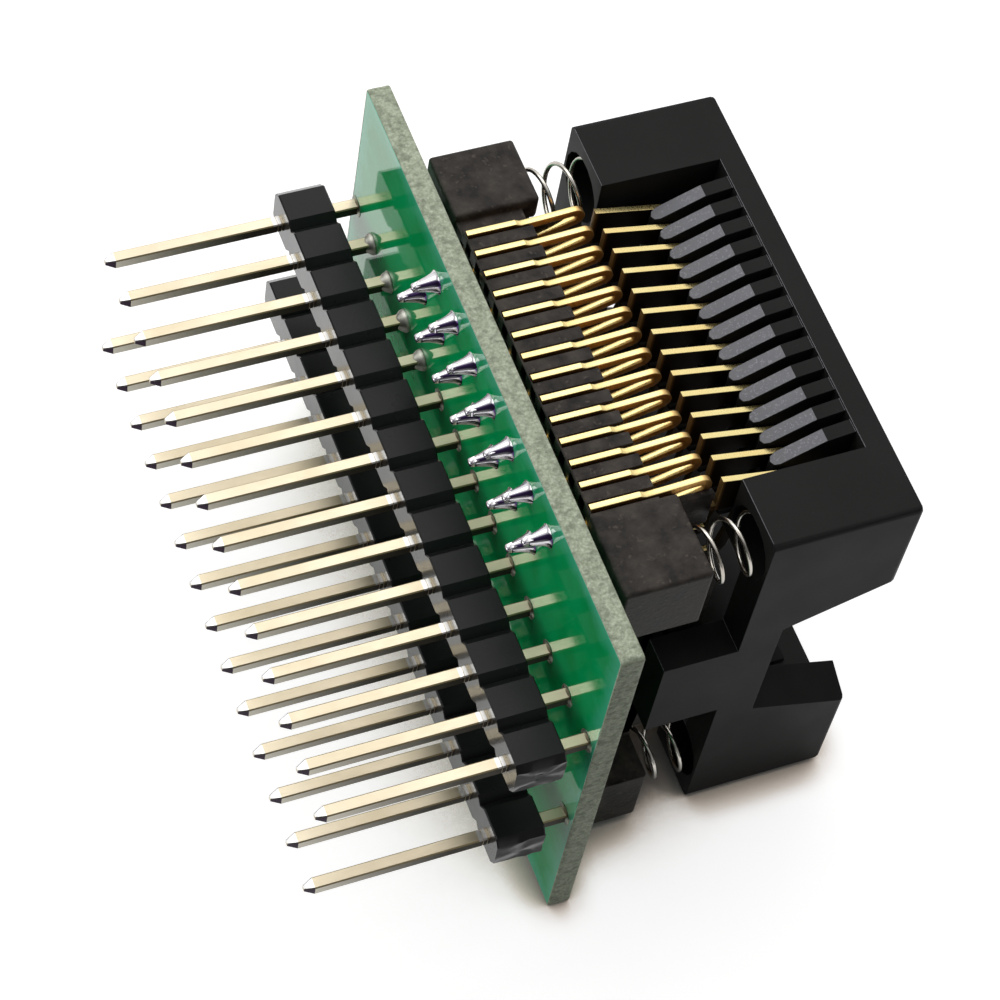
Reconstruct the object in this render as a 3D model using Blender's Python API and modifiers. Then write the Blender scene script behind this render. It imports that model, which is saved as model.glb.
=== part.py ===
"""Small-outline chip socket on an adapter board with two pin headers.

The part stands on the tips of its header pins. X runs along the pin rows,
Y across them, and Z points from the pins to the socket's sprung cover.
The near side is the -Y side. Lengths are in metres.
"""

import math

import bmesh
import bpy
from mathutils import Matrix, Vector

MM = 0.001

# Adapter board
BOARD_LENGTH = 34.66 * MM
BOARD_WIDTH = 25.32 * MM
BOARD_THICKNESS = 1.20 * MM
BOARD_SHIFT = 0.14 * MM

# Pin headers
PINS_PER_ROW = 14
PIN_PITCH = 2.54 * MM
ROW_SPACING = 7.62 * MM
PIN_SIZE = 0.64 * MM
PIN_TIP_SIZE = 0.26 * MM
PIN_TIP_LENGTH = 0.75 * MM
PIN_FREE_LENGTH = 9.53 * MM
PIN_PROUD = 0.10 * MM
STRIP_HEIGHT = 2.54 * MM
STRIP_WIDTH = 2.54 * MM
STRIP_NOTCH = 0.42 * MM
STRIP_TO_BOARD = 1.57 * MM

# Clearances
HOLE_CLEARANCE = 0.15 * MM
SLOT_CLEARANCE = 0.12 * MM
RIB_CLEARANCE = 0.09 * MM
RUNNING_GAP = 0.30 * MM
CUT_MARGIN = 1.00 * MM

# Rows of contacts
CONTACTS_PER_SIDE = 14
CONTACT_PITCH = 1.27 * MM
CONTACT_THICKNESS = 0.33 * MM
CONTACT_ROW = (CONTACTS_PER_SIDE - 1) * CONTACT_PITCH
SLOT_WIDTH = CONTACT_THICKNESS + 2 * SLOT_CLEARANCE

# Socket base
SOCKET_SHIFT = 0.69 * MM
BASE_STANDOFF = 0.46 * MM
BASE_END_LENGTH = 5.045 * MM
BASE_LENGTH = CONTACT_ROW + 2 * BASE_END_LENGTH
BASE_WIDTH = 24.30 * MM
COMB_HEIGHT = 3.60 * MM
DECK_RISE = 0.10 * MM
COMB_SETBACK = 0.06 * MM
COMB_RECESS = 0.42 * MM
COMB_DEPTH = 4.70 * MM
BLOCK_HEIGHT = 4.55 * MM
BLOCK_WIDTH = 4.25 * MM
SHORT_BLOCK_LENGTH = 3.95 * MM
BLOCK_WALL = 0.06 * MM
LONG_BLOCK_LENGTH = BASE_END_LENGTH - SLOT_WIDTH / 2 - BLOCK_WALL
BLOCK_ROUNDING = 0.22 * MM
SEAT_HEIGHT = 6.00 * MM
SEAT_WALL = 0.15 * MM
SEAT_SHOULDER_DROP = 0.90 * MM
SEAT_LAND_WIDTH = 11.40 * MM
SEAT_CHANNEL_WIDTH = 6.00 * MM
SEAT_CHANNEL_DEPTH = 0.80 * MM
SEAT_END_LENGTH = 1.045 * MM
SEAT_LENGTH = CONTACT_ROW + 2 * SEAT_END_LENGTH
END_WALL_RISE = 0.70 * MM
END_WALL_SETBACK = 0.90 * MM
END_WALL_WIDTH = BASE_WIDTH - 2 * (BLOCK_WIDTH + END_WALL_SETBACK)
FOOT_RADIUS = 0.90 * MM
FOOT_GAP = 0.24 * MM

# Sprung cover
COVER_SETBACK = 0.25 * MM
COVER_OVERHANG = 0.35 * MM
COVER_LENGTH = BASE_LENGTH - 2 * COVER_SETBACK
COVER_WIDTH = BASE_WIDTH + 2 * COVER_OVERHANG
COVER_HEIGHT = 7.87 * MM
COVER_ROUNDING = 0.30 * MM
COVER_TRAVEL = 2.50 * MM
PRESSED_GAP = 0.58 * MM
COVER_END_WALL = 1.95 * MM
COVER_SIDE_WALL = 4.50 * MM
WINDOW_END_GAP = 0.745 * MM
WINDOW_LENGTH = CONTACT_ROW + 2 * WINDOW_END_GAP
TOP_BAR_HEIGHT = 1.42 * MM
LEG_WIDTH = 5.95 * MM
LEG_LENGTH = 3.98 * MM
HOOK_REACH = 0.55 * MM
HOOK_HEIGHT = 0.70 * MM
HOOK_RISE = 0.15 * MM
NOTCH_TOP_WIDTH = 12.10 * MM
NOTCH_FLOOR_WIDTH = 7.90 * MM
NOTCH_DEPTH = 5.70 * MM
NOTCH_FLARE = 0.90 * MM
NOTCH_FLOOR_RISE = 1.30 * MM

# Ribs of the cover's long sides, by depth in from its outer face and drop below the window's top
RIB_WIDTH = CONTACT_PITCH - CONTACT_THICKNESS - 2 * RIB_CLEARANCE
RIB_TOP_DEPTH = 0.12 * MM
RIB_KNEE_DEPTH = 0.34 * MM
RIB_KNEE_DROP = 1.45 * MM
RIB_TIP_DEPTH = 1.58 * MM
RIB_TIP_DROP = 4.10 * MM
RIB_INNER_GAP = 0.10 * MM

# Springs, placed by distance in from the base's ends and sides
SPRING_RADIUS = 1.54 * MM
SPRING_WIRE = 0.32 * MM
SPRING_TURNS = 6.5
SPRING_END_INSET = 2.30 * MM
SPRING_SIDE_INSET = 2.25 * MM
SPRING_X = BASE_LENGTH / 2 - SPRING_END_INSET
SPRING_Y = BASE_WIDTH / 2 - SPRING_SIDE_INSET
SPRING_GAP = 0.13 * MM
BASE_POCKET_DEPTH = 2.45 * MM
COVER_POCKET_DEPTH = 3.50 * MM

# Stamped contact, by depth in from its stem's outer edge and height over the base's underside
STRAND_WIDTH = 0.42 * MM
STEM_PROUD = 0.05 * MM
STEM_OUTER = BASE_WIDTH / 2 + STEM_PROUD
STEM_LOW = 0.20 * MM
STEM_TOP = 2.72 * MM
STEM_WIDTH = 0.84 * MM
FOOT_TOP = 1.10 * MM
LOOP_DEPTH = 0.60 * MM
LOOP_HEIGHT = 5.90 * MM
LOOP_RADIUS = 0.395 * MM
LOOP_LEAN = math.radians(17.1)
BEND_DEPTH = 2.08 * MM
BEND_HEIGHT = 3.98 * MM
BEND_RADIUS = 0.45 * MM
RISER_LEAN = math.radians(6.9)
LEVER_ROOT_DEPTH = 0.62 * MM
LEVER_ROOT_HEIGHT = 7.25 * MM
LEVER_TOP_DEPTH = 2.11 * MM
LEVER_TOP_WIDTH = 0.76 * MM
ARM_ROOT_DEPTH = 2.35 * MM
ARM_ROOT_HEIGHT = 9.30 * MM
ARM_THICKNESS = 0.62 * MM
ARM_DROP = 0.85 * MM
TIP_INNER = 4.72 * MM
TIP_WIDTH = 0.40 * MM
TAIL_WIDTH = 0.46 * MM
TAIL_POINT_WIDTH = 0.18 * MM
TAIL_POINT_LENGTH = 0.35 * MM
TAIL_BELOW_BOARD = 1.30 * MM
OUTER_TAIL_DEPTH = 1.70 * MM
TAIL_ROW_STEP = 2.54 * MM

# Faceting
HOLE_SEGMENTS = 8
POCKET_SEGMENTS = 16
SPRING_POINTS_PER_TURN = 10

# Heights that follow from the sizes above
STRIP_BOTTOM = PIN_FREE_LENGTH
BOARD_BOTTOM = STRIP_BOTTOM + STRIP_HEIGHT + STRIP_TO_BOARD
BOARD_TOP = BOARD_BOTTOM + BOARD_THICKNESS
BASE_BOTTOM = BOARD_TOP + BASE_STANDOFF
BLOCK_TOP = BASE_BOTTOM + BLOCK_HEIGHT
COVER_BOTTOM = BLOCK_TOP + COVER_TRAVEL + PRESSED_GAP
COVER_TOP = COVER_BOTTOM + COVER_HEIGHT
WINDOW_TOP = COVER_TOP - TOP_BAR_HEIGHT
LEG_BOTTOM = COVER_BOTTOM - LEG_LENGTH
HOOK_TOP = LEG_BOTTOM + HOOK_RISE + HOOK_HEIGHT

# How a flat outline is turned: the plan, the end view and the side view
PLAN_VIEW = Matrix.Identity(4)
END_VIEW = Matrix.Rotation(math.radians(90), 4, "Z") @ Matrix.Rotation(math.radians(90), 4, "X")
SIDE_VIEW = Matrix.Rotation(math.radians(90), 4, "X")
HALF_TURN = Matrix.Rotation(math.pi, 4, "Z")


def clear_scene():
    """Remove every object of the open file."""
    for obj in list(bpy.data.objects):
        bpy.data.objects.remove(obj, do_unlink=True)


def new_collection(name):
    """Make a collection and link it to the scene."""
    collection = bpy.data.collections.new(name)
    bpy.context.scene.collection.children.link(collection)
    return collection


def new_material(name, colour, roughness, metallic):
    """Make a plain Principled material."""
    material = bpy.data.materials.new(name)
    material.use_nodes = True
    shader = material.node_tree.nodes["Principled BSDF"]
    shader.inputs["Base Color"].default_value = (*colour, 1.0)
    shader.inputs["Roughness"].default_value = roughness
    shader.inputs["Metallic"].default_value = metallic
    material.diffuse_color = (*colour, 1.0)
    return material


def add_object(name, mesh, collection, material=None, matrix=None):
    """Put a mesh into a collection as a named object."""
    obj = bpy.data.objects.new(name, mesh)
    collection.objects.link(obj)
    if matrix is not None:
        obj.matrix_world = matrix
    if material is not None and not mesh.materials:
        mesh.materials.append(material)
    return obj


def add_cutter(name, mesh, matrix=None):
    """Put a mesh that only cuts or joins into the cutters' collection."""
    obj = add_object(name, mesh, bpy.data.collections["construction"], matrix=matrix)
    obj.hide_render = True
    obj.display_type = "WIRE"
    return obj


def boolean(target, other, operation):
    """Cut another object out of the target, or join it on."""
    modifier = target.modifiers.new(other.name, "BOOLEAN")
    modifier.operation = operation
    modifier.solver = "EXACT"
    modifier.object = other


def repeat_along_x(obj, count, pitch):
    """Repeat an object along X with an array."""
    modifier = obj.modifiers.new("row", "ARRAY")
    modifier.count = count
    modifier.use_relative_offset = False
    modifier.use_constant_offset = True
    modifier.constant_offset_displace = (pitch, 0.0, 0.0)
    modifier.use_merge_vertices = False


def mesh_from_bmesh(bm, name):
    """Turn a bmesh into a mesh with its faces pointing out."""
    bmesh.ops.recalc_face_normals(bm, faces=bm.faces)
    mesh = bpy.data.meshes.new(name)
    bm.to_mesh(mesh)
    bm.free()
    return mesh


def box_mesh(name, low, high, rounding=0.0, keep_bottom=False):
    """Make a box between two corners, with its edges rounded where asked."""
    bm = bmesh.new()
    bmesh.ops.create_cube(bm, size=1.0)
    low, high = Vector(low), Vector(high)
    for vert in bm.verts:
        vert.co = Vector((high[i] if vert.co[i] > 0 else low[i]) for i in range(3))
    if rounding > 0.0:
        edges = [e for e in bm.edges if not (keep_bottom and is_level_at(e, low.z))]
        bmesh.ops.bevel(bm, geom=edges, offset=rounding, segments=2, profile=0.5, affect="EDGES")
    return mesh_from_bmesh(bm, name)


def is_level_at(edge, height):
    """Tell whether both ends of an edge lie at a height."""
    return all(abs(vert.co.z - height) < 1e-7 for vert in edge.verts)


def cylinder_mesh(name, radius, low, high, segments, flats=True):
    """Make an upright cylinder on the Z axis, with flats or else corners facing X and Y."""
    bm = bmesh.new()
    bmesh.ops.create_cone(bm, cap_ends=True, segments=segments, radius1=radius,
                          radius2=radius, depth=high - low)
    turn = Matrix.Rotation(math.pi / segments if flats else 0.0, 4, "Z")
    bmesh.ops.transform(bm, matrix=Matrix.Translation((0, 0, (low + high) / 2)) @ turn, verts=bm.verts)
    return mesh_from_bmesh(bm, name)


def outline_mesh(name, outline, thickness, view):
    """Extrude a flat outline to both sides, and turn it to a view."""
    bm = bmesh.new()
    face = bm.faces.new([bm.verts.new((across, up, -thickness / 2)) for across, up in outline])
    extruded = bmesh.ops.extrude_face_region(bm, geom=[face])
    verts = [item for item in extruded["geom"] if isinstance(item, bmesh.types.BMVert)]
    bmesh.ops.translate(bm, vec=(0.0, 0.0, thickness), verts=verts)
    bmesh.ops.transform(bm, matrix=view, verts=bm.verts)
    return mesh_from_bmesh(bm, name)


def polar(centre, radius, angle):
    """Return the point at a radius and an angle in radians from a centre."""
    return centre[0] + radius * math.cos(angle), centre[1] + radius * math.sin(angle)


def arc(centre, radius, start, end, steps):
    """Return points on an arc, its two ends included; angles are in radians."""
    return [polar(centre, radius, start + (end - start) * step / steps) for step in range(steps + 1)]


def row_start(count, pitch):
    """Return the place of the first of several things centred on zero."""
    return -(count - 1) * pitch / 2


def contact_place(number):
    """Return a contact's place along the near row, numbered from 0."""
    return row_start(CONTACTS_PER_SIDE, CONTACT_PITCH) + number * CONTACT_PITCH


def tail_distance(number):
    """Return how far out a contact's tail is: the rows take turns, the first is an inner one."""
    outer = STEM_OUTER - OUTER_TAIL_DEPTH
    return outer if number % 2 else outer - TAIL_ROW_STEP


def make_board(collection):
    """Adapter board with its pin holes and the staggered holes of the contact tails."""
    material = new_material("solder_mask", (0.01, 0.13, 0.045), 0.15, 0.0)
    low = (BOARD_SHIFT - BOARD_LENGTH / 2, -BOARD_WIDTH / 2, BOARD_BOTTOM)
    high = (BOARD_SHIFT + BOARD_LENGTH / 2, BOARD_WIDTH / 2, BOARD_TOP)
    board = add_object("pcb", box_mesh("pcb", low, high), collection, material)

    pin_hole = PIN_SIZE / math.sqrt(2) + HOLE_CLEARANCE
    tail_hole = math.hypot(TAIL_WIDTH, CONTACT_THICKNESS) / 2 + HOLE_CLEARANCE
    pin_x = row_start(PINS_PER_ROW, PIN_PITCH)
    for side in (-1, 1):
        drill_row(board, pin_hole, (pin_x, side * ROW_SPACING / 2), PINS_PER_ROW, PIN_PITCH)
        for first in (0, 1):
            count = (CONTACTS_PER_SIDE - first + 1) // 2
            x = -side * contact_place(first)
            place = (SOCKET_SHIFT + x, side * tail_distance(first))
            drill_row(board, tail_hole, place, count, -side * 2 * CONTACT_PITCH)
    return board


def drill_row(board, radius, place, count, pitch):
    """Cut a row of round holes through the board."""
    low = BOARD_BOTTOM - CUT_MARGIN
    high = BOARD_TOP + CUT_MARGIN
    drill = add_cutter("drill", cylinder_mesh("drill", radius, low, high, HOLE_SEGMENTS))
    drill.location = (*place, 0.0)
    repeat_along_x(drill, count, pitch)
    boolean(board, drill, "DIFFERENCE")


def pin_mesh():
    """Square header pin on the Z axis, tapered to its tip below."""
    bm = bmesh.new()
    bmesh.ops.create_cube(bm, size=1.0)
    top = BOARD_TOP + PIN_PROUD
    bmesh.ops.scale(bm, vec=(PIN_SIZE, PIN_SIZE, top), verts=bm.verts)
    bmesh.ops.translate(bm, vec=(0.0, 0.0, top / 2), verts=bm.verts)
    geometry = bm.verts[:] + bm.edges[:] + bm.faces[:]
    bmesh.ops.bisect_plane(bm, geom=geometry, plane_co=(0, 0, PIN_TIP_LENGTH), plane_no=(0, 0, 1))
    taper = PIN_TIP_SIZE / PIN_SIZE
    tip = [vert for vert in bm.verts if vert.co.z < PIN_TIP_LENGTH / 2]
    bmesh.ops.scale(bm, vec=(taper, taper, 1.0), verts=tip)
    return mesh_from_bmesh(bm, "pin")


def make_header(name, row_y, collection, materials):
    """One pin header: a notched plastic strip with its row of pins."""
    half_length = PINS_PER_ROW * PIN_PITCH / 2
    half_width = STRIP_WIDTH / 2
    low = (-half_length, -half_width, STRIP_BOTTOM)
    high = (half_length, half_width, STRIP_BOTTOM + STRIP_HEIGHT)
    mesh = box_mesh(name, low, high)
    header = add_object(name, mesh, collection, materials[0])
    mesh.materials.append(materials[1])
    header.location = (0.0, row_y, 0.0)
    for side in (-1, 1):
        low, high = STRIP_BOTTOM - CUT_MARGIN, STRIP_BOTTOM + STRIP_HEIGHT + CUT_MARGIN
        wedge = add_cutter("notch", cylinder_mesh("notch", STRIP_NOTCH, low, high, 4, flats=False))
        wedge.location = (-half_length, row_y + side * half_width, 0.0)
        repeat_along_x(wedge, PINS_PER_ROW + 1, PIN_PITCH)
        boolean(header, wedge, "DIFFERENCE")
    pins = add_cutter(name + "_pins", pin_mesh())
    pins.data.materials.append(materials[1])
    pins.location = (row_start(PINS_PER_ROW, PIN_PITCH), row_y, 0.0)
    repeat_along_x(pins, PINS_PER_ROW, PIN_PITCH)
    boolean(header, pins, "UNION")
    return header


def spring_edges():
    """Both edges of a contact's looped strand, each from the stem's side to the lever's side."""
    half = STRAND_WIDTH / 2
    loop = (STEM_OUTER - LOOP_DEPTH, LOOP_HEIGHT)
    bend = (STEM_OUTER - BEND_DEPTH, BEND_HEIGHT)
    loop_end = math.pi - LOOP_LEAN
    bend_end = RISER_LEAN - math.pi
    outer = arc(loop, LOOP_RADIUS + half, 0.0, loop_end, 4)
    outer += arc(bend, BEND_RADIUS - half, -LOOP_LEAN, bend_end, 2)
    inner = arc(loop, LOOP_RADIUS - half, 0.0, loop_end, 2)
    inner += arc(bend, BEND_RADIUS + half, -LOOP_LEAN, bend_end, 3)
    return outer, inner


def lever_outline(riser_front, riser_back):
    """Outline of a contact's head: the lever up into the cover and the arm in to the chip."""
    lean = math.tan(RISER_LEAN)
    arm_low = ARM_ROOT_HEIGHT - ARM_THICKNESS - STRAND_WIDTH / 2
    lever_top = WINDOW_TOP - RUNNING_GAP - BASE_BOTTOM - LEVER_TOP_WIDTH / 2
    lever_centre = (STEM_OUTER - LEVER_TOP_DEPTH - LEVER_TOP_WIDTH / 2, lever_top)
    arm_root = (STEM_OUTER - ARM_ROOT_DEPTH, ARM_ROOT_HEIGHT)
    arm_end = ARM_ROOT_HEIGHT - ARM_DROP
    arm_tip = TIP_INNER + ARM_THICKNESS
    tip_low = SEAT_HEIGHT + RUNNING_GAP
    root_height = LEVER_ROOT_HEIGHT
    points = [(riser_front[0] - lean * (root_height - riser_front[1]), root_height)]
    points.append((STEM_OUTER - LEVER_ROOT_DEPTH, root_height))
    points += arc(lever_centre, LEVER_TOP_WIDTH / 2, 0.0, math.pi, 3)
    points += [arm_root, (arm_root[0] - ARM_THICKNESS, arm_root[1] - STRAND_WIDTH / 2)]
    points += [(arm_tip, arm_end), (TIP_INNER, arm_end - ARM_THICKNESS / 2)]
    points += [(TIP_INNER, tip_low), (TIP_INNER + TIP_WIDTH, tip_low), (arm_tip, arm_end - ARM_THICKNESS)]
    points.append((riser_back[0] - lean * (arm_low - riser_back[1]), arm_low))
    return points


def tail_outline(tail):
    """Outline of a contact's foot and of the tail that goes through the board."""
    half = TAIL_WIDTH / 2
    half_point = TAIL_POINT_WIDTH / 2
    low = BOARD_BOTTOM - TAIL_BELOW_BOARD - BASE_BOTTOM
    shoulder = low + TAIL_POINT_LENGTH
    points = [(tail - half, FOOT_TOP), (tail - half, shoulder), (tail - half_point, low)]
    return points + [(tail + half_point, low), (tail + half, shoulder), (tail + half, STEM_LOW)]


def contact_outline(tail):
    """Outline of a stamped contact: stem, looped spring, lever and arm, foot and tail."""
    half = STRAND_WIDTH / 2
    outer, inner = spring_edges()
    leg_inner = inner[0][0] - STRAND_WIDTH / 2
    points = [(STEM_OUTER, STEM_LOW), (STEM_OUTER, STEM_TOP), (STEM_OUTER - STRAND_WIDTH, STEM_TOP + half)]
    points.append((STEM_OUTER - half / 2, (STEM_TOP + LOOP_HEIGHT) / 2))
    points += outer + lever_outline(outer[-1], inner[-1]) + inner[::-1]
    points += [(leg_inner, STEM_TOP + STRAND_WIDTH), (STEM_OUTER - STEM_WIDTH, STEM_TOP)]
    points.append((STEM_OUTER - STEM_WIDTH, FOOT_TOP))
    return points + tail_outline(tail)


def make_contacts(collection, material):
    """Both rows of contacts; the far row is the near row turned half round."""
    outlines = [contact_outline(tail_distance(kind)) for kind in (0, 1)]
    kinds = [outline_mesh("contact", outline, CONTACT_THICKNESS, END_VIEW) for outline in outlines]
    for number in range(CONTACTS_PER_SIDE):
        mesh = kinds[number % 2]
        for side, turned in (("near", True), ("far", False)):
            x = contact_place(number) * (1 if turned else -1)
            contact = add_object(f"contact_{side}_{number + 1:02d}", mesh, collection, material)
            contact.location = (SOCKET_SHIFT + x, 0.0, BASE_BOTTOM)
            contact.rotation_euler = (0.0, 0.0, math.pi if turned else 0.0)


def deck_outline():
    """Plan outline of the base's deck: the comb reaches further out than its ends."""
    comb = BASE_WIDTH / 2 - COMB_SETBACK
    body = comb - COMB_RECESS
    end = BASE_LENGTH / 2 - COMB_RECESS
    comb_left = contact_place(0)
    comb_right = BASE_LENGTH / 2 - LONG_BLOCK_LENGTH + COMB_RECESS
    near = [(-end, -body), (comb_left, -body), (comb_left, -comb), (comb_right, -comb), (comb_right, -body)]
    near.append((end, -body))
    return near + [(-x, -y) for x, y in near]


def seat_outline():
    """End outline of the chip seat: shoulders, two lands for the leads and a channel."""
    body = BASE_WIDTH / 2 - COMB_DEPTH - SEAT_WALL
    half = [
        (body, COMB_HEIGHT / 2),
        (body, SEAT_HEIGHT - SEAT_SHOULDER_DROP),
        (SEAT_LAND_WIDTH / 2, SEAT_HEIGHT),
        (SEAT_CHANNEL_WIDTH / 2, SEAT_HEIGHT),
        (SEAT_CHANNEL_WIDTH / 2, SEAT_HEIGHT - SEAT_CHANNEL_DEPTH),
    ]
    return half + [(-y, z) for y, z in reversed(half)]


def make_base(collection, material):
    """Socket base: comb deck, chip seat, end walls, corner blocks and spring pockets."""
    place = Matrix.Translation((SOCKET_SHIFT, 0.0, BASE_BOTTOM))
    deck = outline_mesh("socket_base", deck_outline(), COMB_HEIGHT - DECK_RISE, PLAN_VIEW)
    deck.transform(Matrix.Translation((0, 0, (COMB_HEIGHT + DECK_RISE) / 2)))
    base = add_object("socket_base", deck, collection, material, place)

    wall_outer = COVER_LENGTH / 2 - COVER_END_WALL - RUNNING_GAP
    seat_length = SEAT_LENGTH + (wall_outer - SEAT_LENGTH / 2)
    seat = add_cutter("seat", outline_mesh("seat", seat_outline(), seat_length, END_VIEW), place)
    boolean(base, seat, "UNION")
    for end in (-1, 1):
        add_base_end(base, place if end > 0 else place @ HALF_TURN, wall_outer)

    slot_depths = (BASE_WIDTH / 2 - COMB_DEPTH, BASE_WIDTH / 2 + CUT_MARGIN)
    for side in (-1, 1):
        near_y, far_y = sorted(side * depth for depth in slot_depths)
        low = (-SLOT_WIDTH / 2, near_y, -CUT_MARGIN)
        high = (SLOT_WIDTH / 2, far_y, SEAT_HEIGHT + CUT_MARGIN)
        slot = add_cutter("slot", box_mesh("slot", low, high), place)
        slot.location.x += contact_place(0)
        repeat_along_x(slot, CONTACTS_PER_SIDE, CONTACT_PITCH)
        boolean(base, slot, "DIFFERENCE")
    return base


def add_base_end(base, place, wall_outer):
    """One end of the base: wall, two corner blocks, leg recess, hook groove, pockets and feet."""
    half_length = BASE_LENGTH / 2
    half_width = BASE_WIDTH / 2
    wall_low = (SEAT_LENGTH / 2, -END_WALL_WIDTH / 2, COMB_HEIGHT / 2)
    wall_top = SEAT_HEIGHT + END_WALL_RISE
    wall_high = (wall_outer + CUT_MARGIN / 2, END_WALL_WIDTH / 2, wall_top)
    boolean(base, add_cutter("end_wall", box_mesh("end_wall", wall_low, wall_high), place), "UNION")

    inner_y = half_width - BLOCK_WIDTH
    for side, length in ((-1, LONG_BLOCK_LENGTH), (1, SHORT_BLOCK_LENGTH)):
        edge_y, root_y = side * half_width, side * (inner_y - BLOCK_ROUNDING * 2)
        low = (half_length - length, min(edge_y, root_y), 0.0)
        high = (half_length, max(edge_y, root_y), BLOCK_HEIGHT)
        mesh = box_mesh("block", low, high, BLOCK_ROUNDING)
        boolean(base, add_cutter("block", mesh, place), "UNION")

    low = (wall_outer, -inner_y, -CUT_MARGIN)
    high = (half_length + CUT_MARGIN, inner_y, wall_top + CUT_MARGIN)
    boolean(base, add_cutter("leg_recess", box_mesh("leg_recess", low, high), place), "DIFFERENCE")

    groove_half = LEG_WIDTH / 2 + RUNNING_GAP
    groove_inner = wall_outer - HOOK_REACH
    low = (groove_inner, -groove_half, -CUT_MARGIN)
    high = (half_length, groove_half, HOOK_TOP + RUNNING_GAP - BASE_BOTTOM)
    boolean(base, add_cutter("groove", box_mesh("groove", low, high), place), "DIFFERENCE")

    for side in (-1, 1):
        foot = cylinder_mesh("foot", FOOT_RADIUS, FOOT_GAP - BASE_STANDOFF, FOOT_RADIUS, HOLE_SEGMENTS)
        foot_place = place @ Matrix.Translation((SPRING_X, side * SPRING_Y, 0.0))
        boolean(base, add_cutter("foot", foot, foot_place), "UNION")
        low, high = BLOCK_HEIGHT - BASE_POCKET_DEPTH, BLOCK_HEIGHT + CUT_MARGIN
        pocket = cylinder_mesh("base_pocket", pocket_radius(), low, high, POCKET_SEGMENTS)
        boolean(base, add_cutter("base_pocket", pocket, foot_place), "DIFFERENCE")


def pocket_radius():
    """Radius of a spring pocket, measured to the corners of its facets."""
    outer = SPRING_RADIUS + SPRING_WIRE / 2 + SPRING_GAP
    return outer / math.cos(math.pi / POCKET_SEGMENTS)


def make_cover(collection, material):
    """Sprung cover: frame, windows with ribs, notched end walls and hooked legs."""
    place = Matrix.Translation((SOCKET_SHIFT, 0.0, 0.0))
    half_x, half_y = COVER_LENGTH / 2, COVER_WIDTH / 2
    low = (-half_x, -half_y, LEG_BOTTOM)
    high = (half_x, half_y, COVER_TOP)
    shell = box_mesh("socket_cover", low, high, COVER_ROUNDING, keep_bottom=True)
    cover = add_object("socket_cover", shell, collection, material, place)

    open_x, open_y = half_x - COVER_END_WALL, half_y - COVER_SIDE_WALL
    low = (-open_x, -open_y, LEG_BOTTOM - CUT_MARGIN)
    high = (open_x, open_y, COVER_TOP + CUT_MARGIN)
    boolean(cover, add_cutter("opening", box_mesh("opening", low, high), place), "DIFFERENCE")

    for turned in (place, place @ HALF_TURN):
        low = (-half_x - CUT_MARGIN, LEG_WIDTH / 2, LEG_BOTTOM - CUT_MARGIN)
        high = (half_x + CUT_MARGIN, half_y + CUT_MARGIN, COVER_BOTTOM)
        boolean(cover, add_cutter("undercut", box_mesh("undercut", low, high), turned), "DIFFERENCE")
        low = (-WINDOW_LENGTH / 2, open_y - CUT_MARGIN, LEG_BOTTOM)
        high = (WINDOW_LENGTH / 2, half_y + CUT_MARGIN, WINDOW_TOP)
        boolean(cover, add_cutter("window", box_mesh("window", low, high), turned), "DIFFERENCE")
        add_ribs(cover, turned)
        boolean(cover, add_cutter("end_notch", notch_mesh(), turned), "DIFFERENCE")
        hook = outline_mesh("hook", hook_outline(), LEG_WIDTH - 2 * HOOK_RISE, SIDE_VIEW)
        boolean(cover, add_cutter("hook", hook, turned), "UNION")
        for side in (-1, 1):
            low, high = COVER_BOTTOM - CUT_MARGIN, COVER_BOTTOM + COVER_POCKET_DEPTH
            pocket = cylinder_mesh("cover_pocket", pocket_radius(), low, high, POCKET_SEGMENTS)
            pocket_place = turned @ Matrix.Translation((SPRING_X, side * SPRING_Y, 0.0))
            boolean(cover, add_cutter("cover_pocket", pocket, pocket_place), "DIFFERENCE")
    return cover


def hook_outline():
    """Side outline of a leg's inward hook, with a lead-in below."""
    root = COVER_LENGTH / 2 - COVER_END_WALL
    tip = root - HOOK_REACH
    low = LEG_BOTTOM + HOOK_RISE
    buried = root + HOOK_REACH
    return [(buried, low), (root, low), (tip, low + HOOK_HEIGHT / 2), (tip, HOOK_TOP), (buried, HOOK_TOP)]


def notch_mesh():
    """Cutter of an end wall's notch: it flares outwards, and its floor falls outwards."""
    bm = bmesh.new()
    bmesh.ops.create_cube(bm, size=1.0)
    outer = COVER_LENGTH / 2
    reach = COVER_END_WALL + CUT_MARGIN
    slope = (NOTCH_TOP_WIDTH - NOTCH_FLOOR_WIDTH) / 2 / NOTCH_DEPTH
    for vert in bm.verts:
        inner = vert.co.x < 0
        top = vert.co.z > 0
        depth_in = reach if inner else -CUT_MARGIN
        share = depth_in / COVER_END_WALL
        floor = COVER_TOP - NOTCH_DEPTH + NOTCH_FLOOR_RISE * share
        z = COVER_TOP + CUT_MARGIN if top else floor
        half = NOTCH_TOP_WIDTH / 2 - NOTCH_FLARE * share - slope * (COVER_TOP - z)
        vert.co = (outer - depth_in, math.copysign(half, vert.co.y), z)
    return mesh_from_bmesh(bm, "end_notch")


def rib_outline():
    """Front outline of a rib: a tongue with a round lower end."""
    half = RIB_WIDTH / 2
    low = WINDOW_TOP - RIB_TIP_DROP + half
    top = WINDOW_TOP + half
    return [(half, top), (-half, top)] + arc((0.0, low), half, math.pi, 2 * math.pi, 4)


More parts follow.
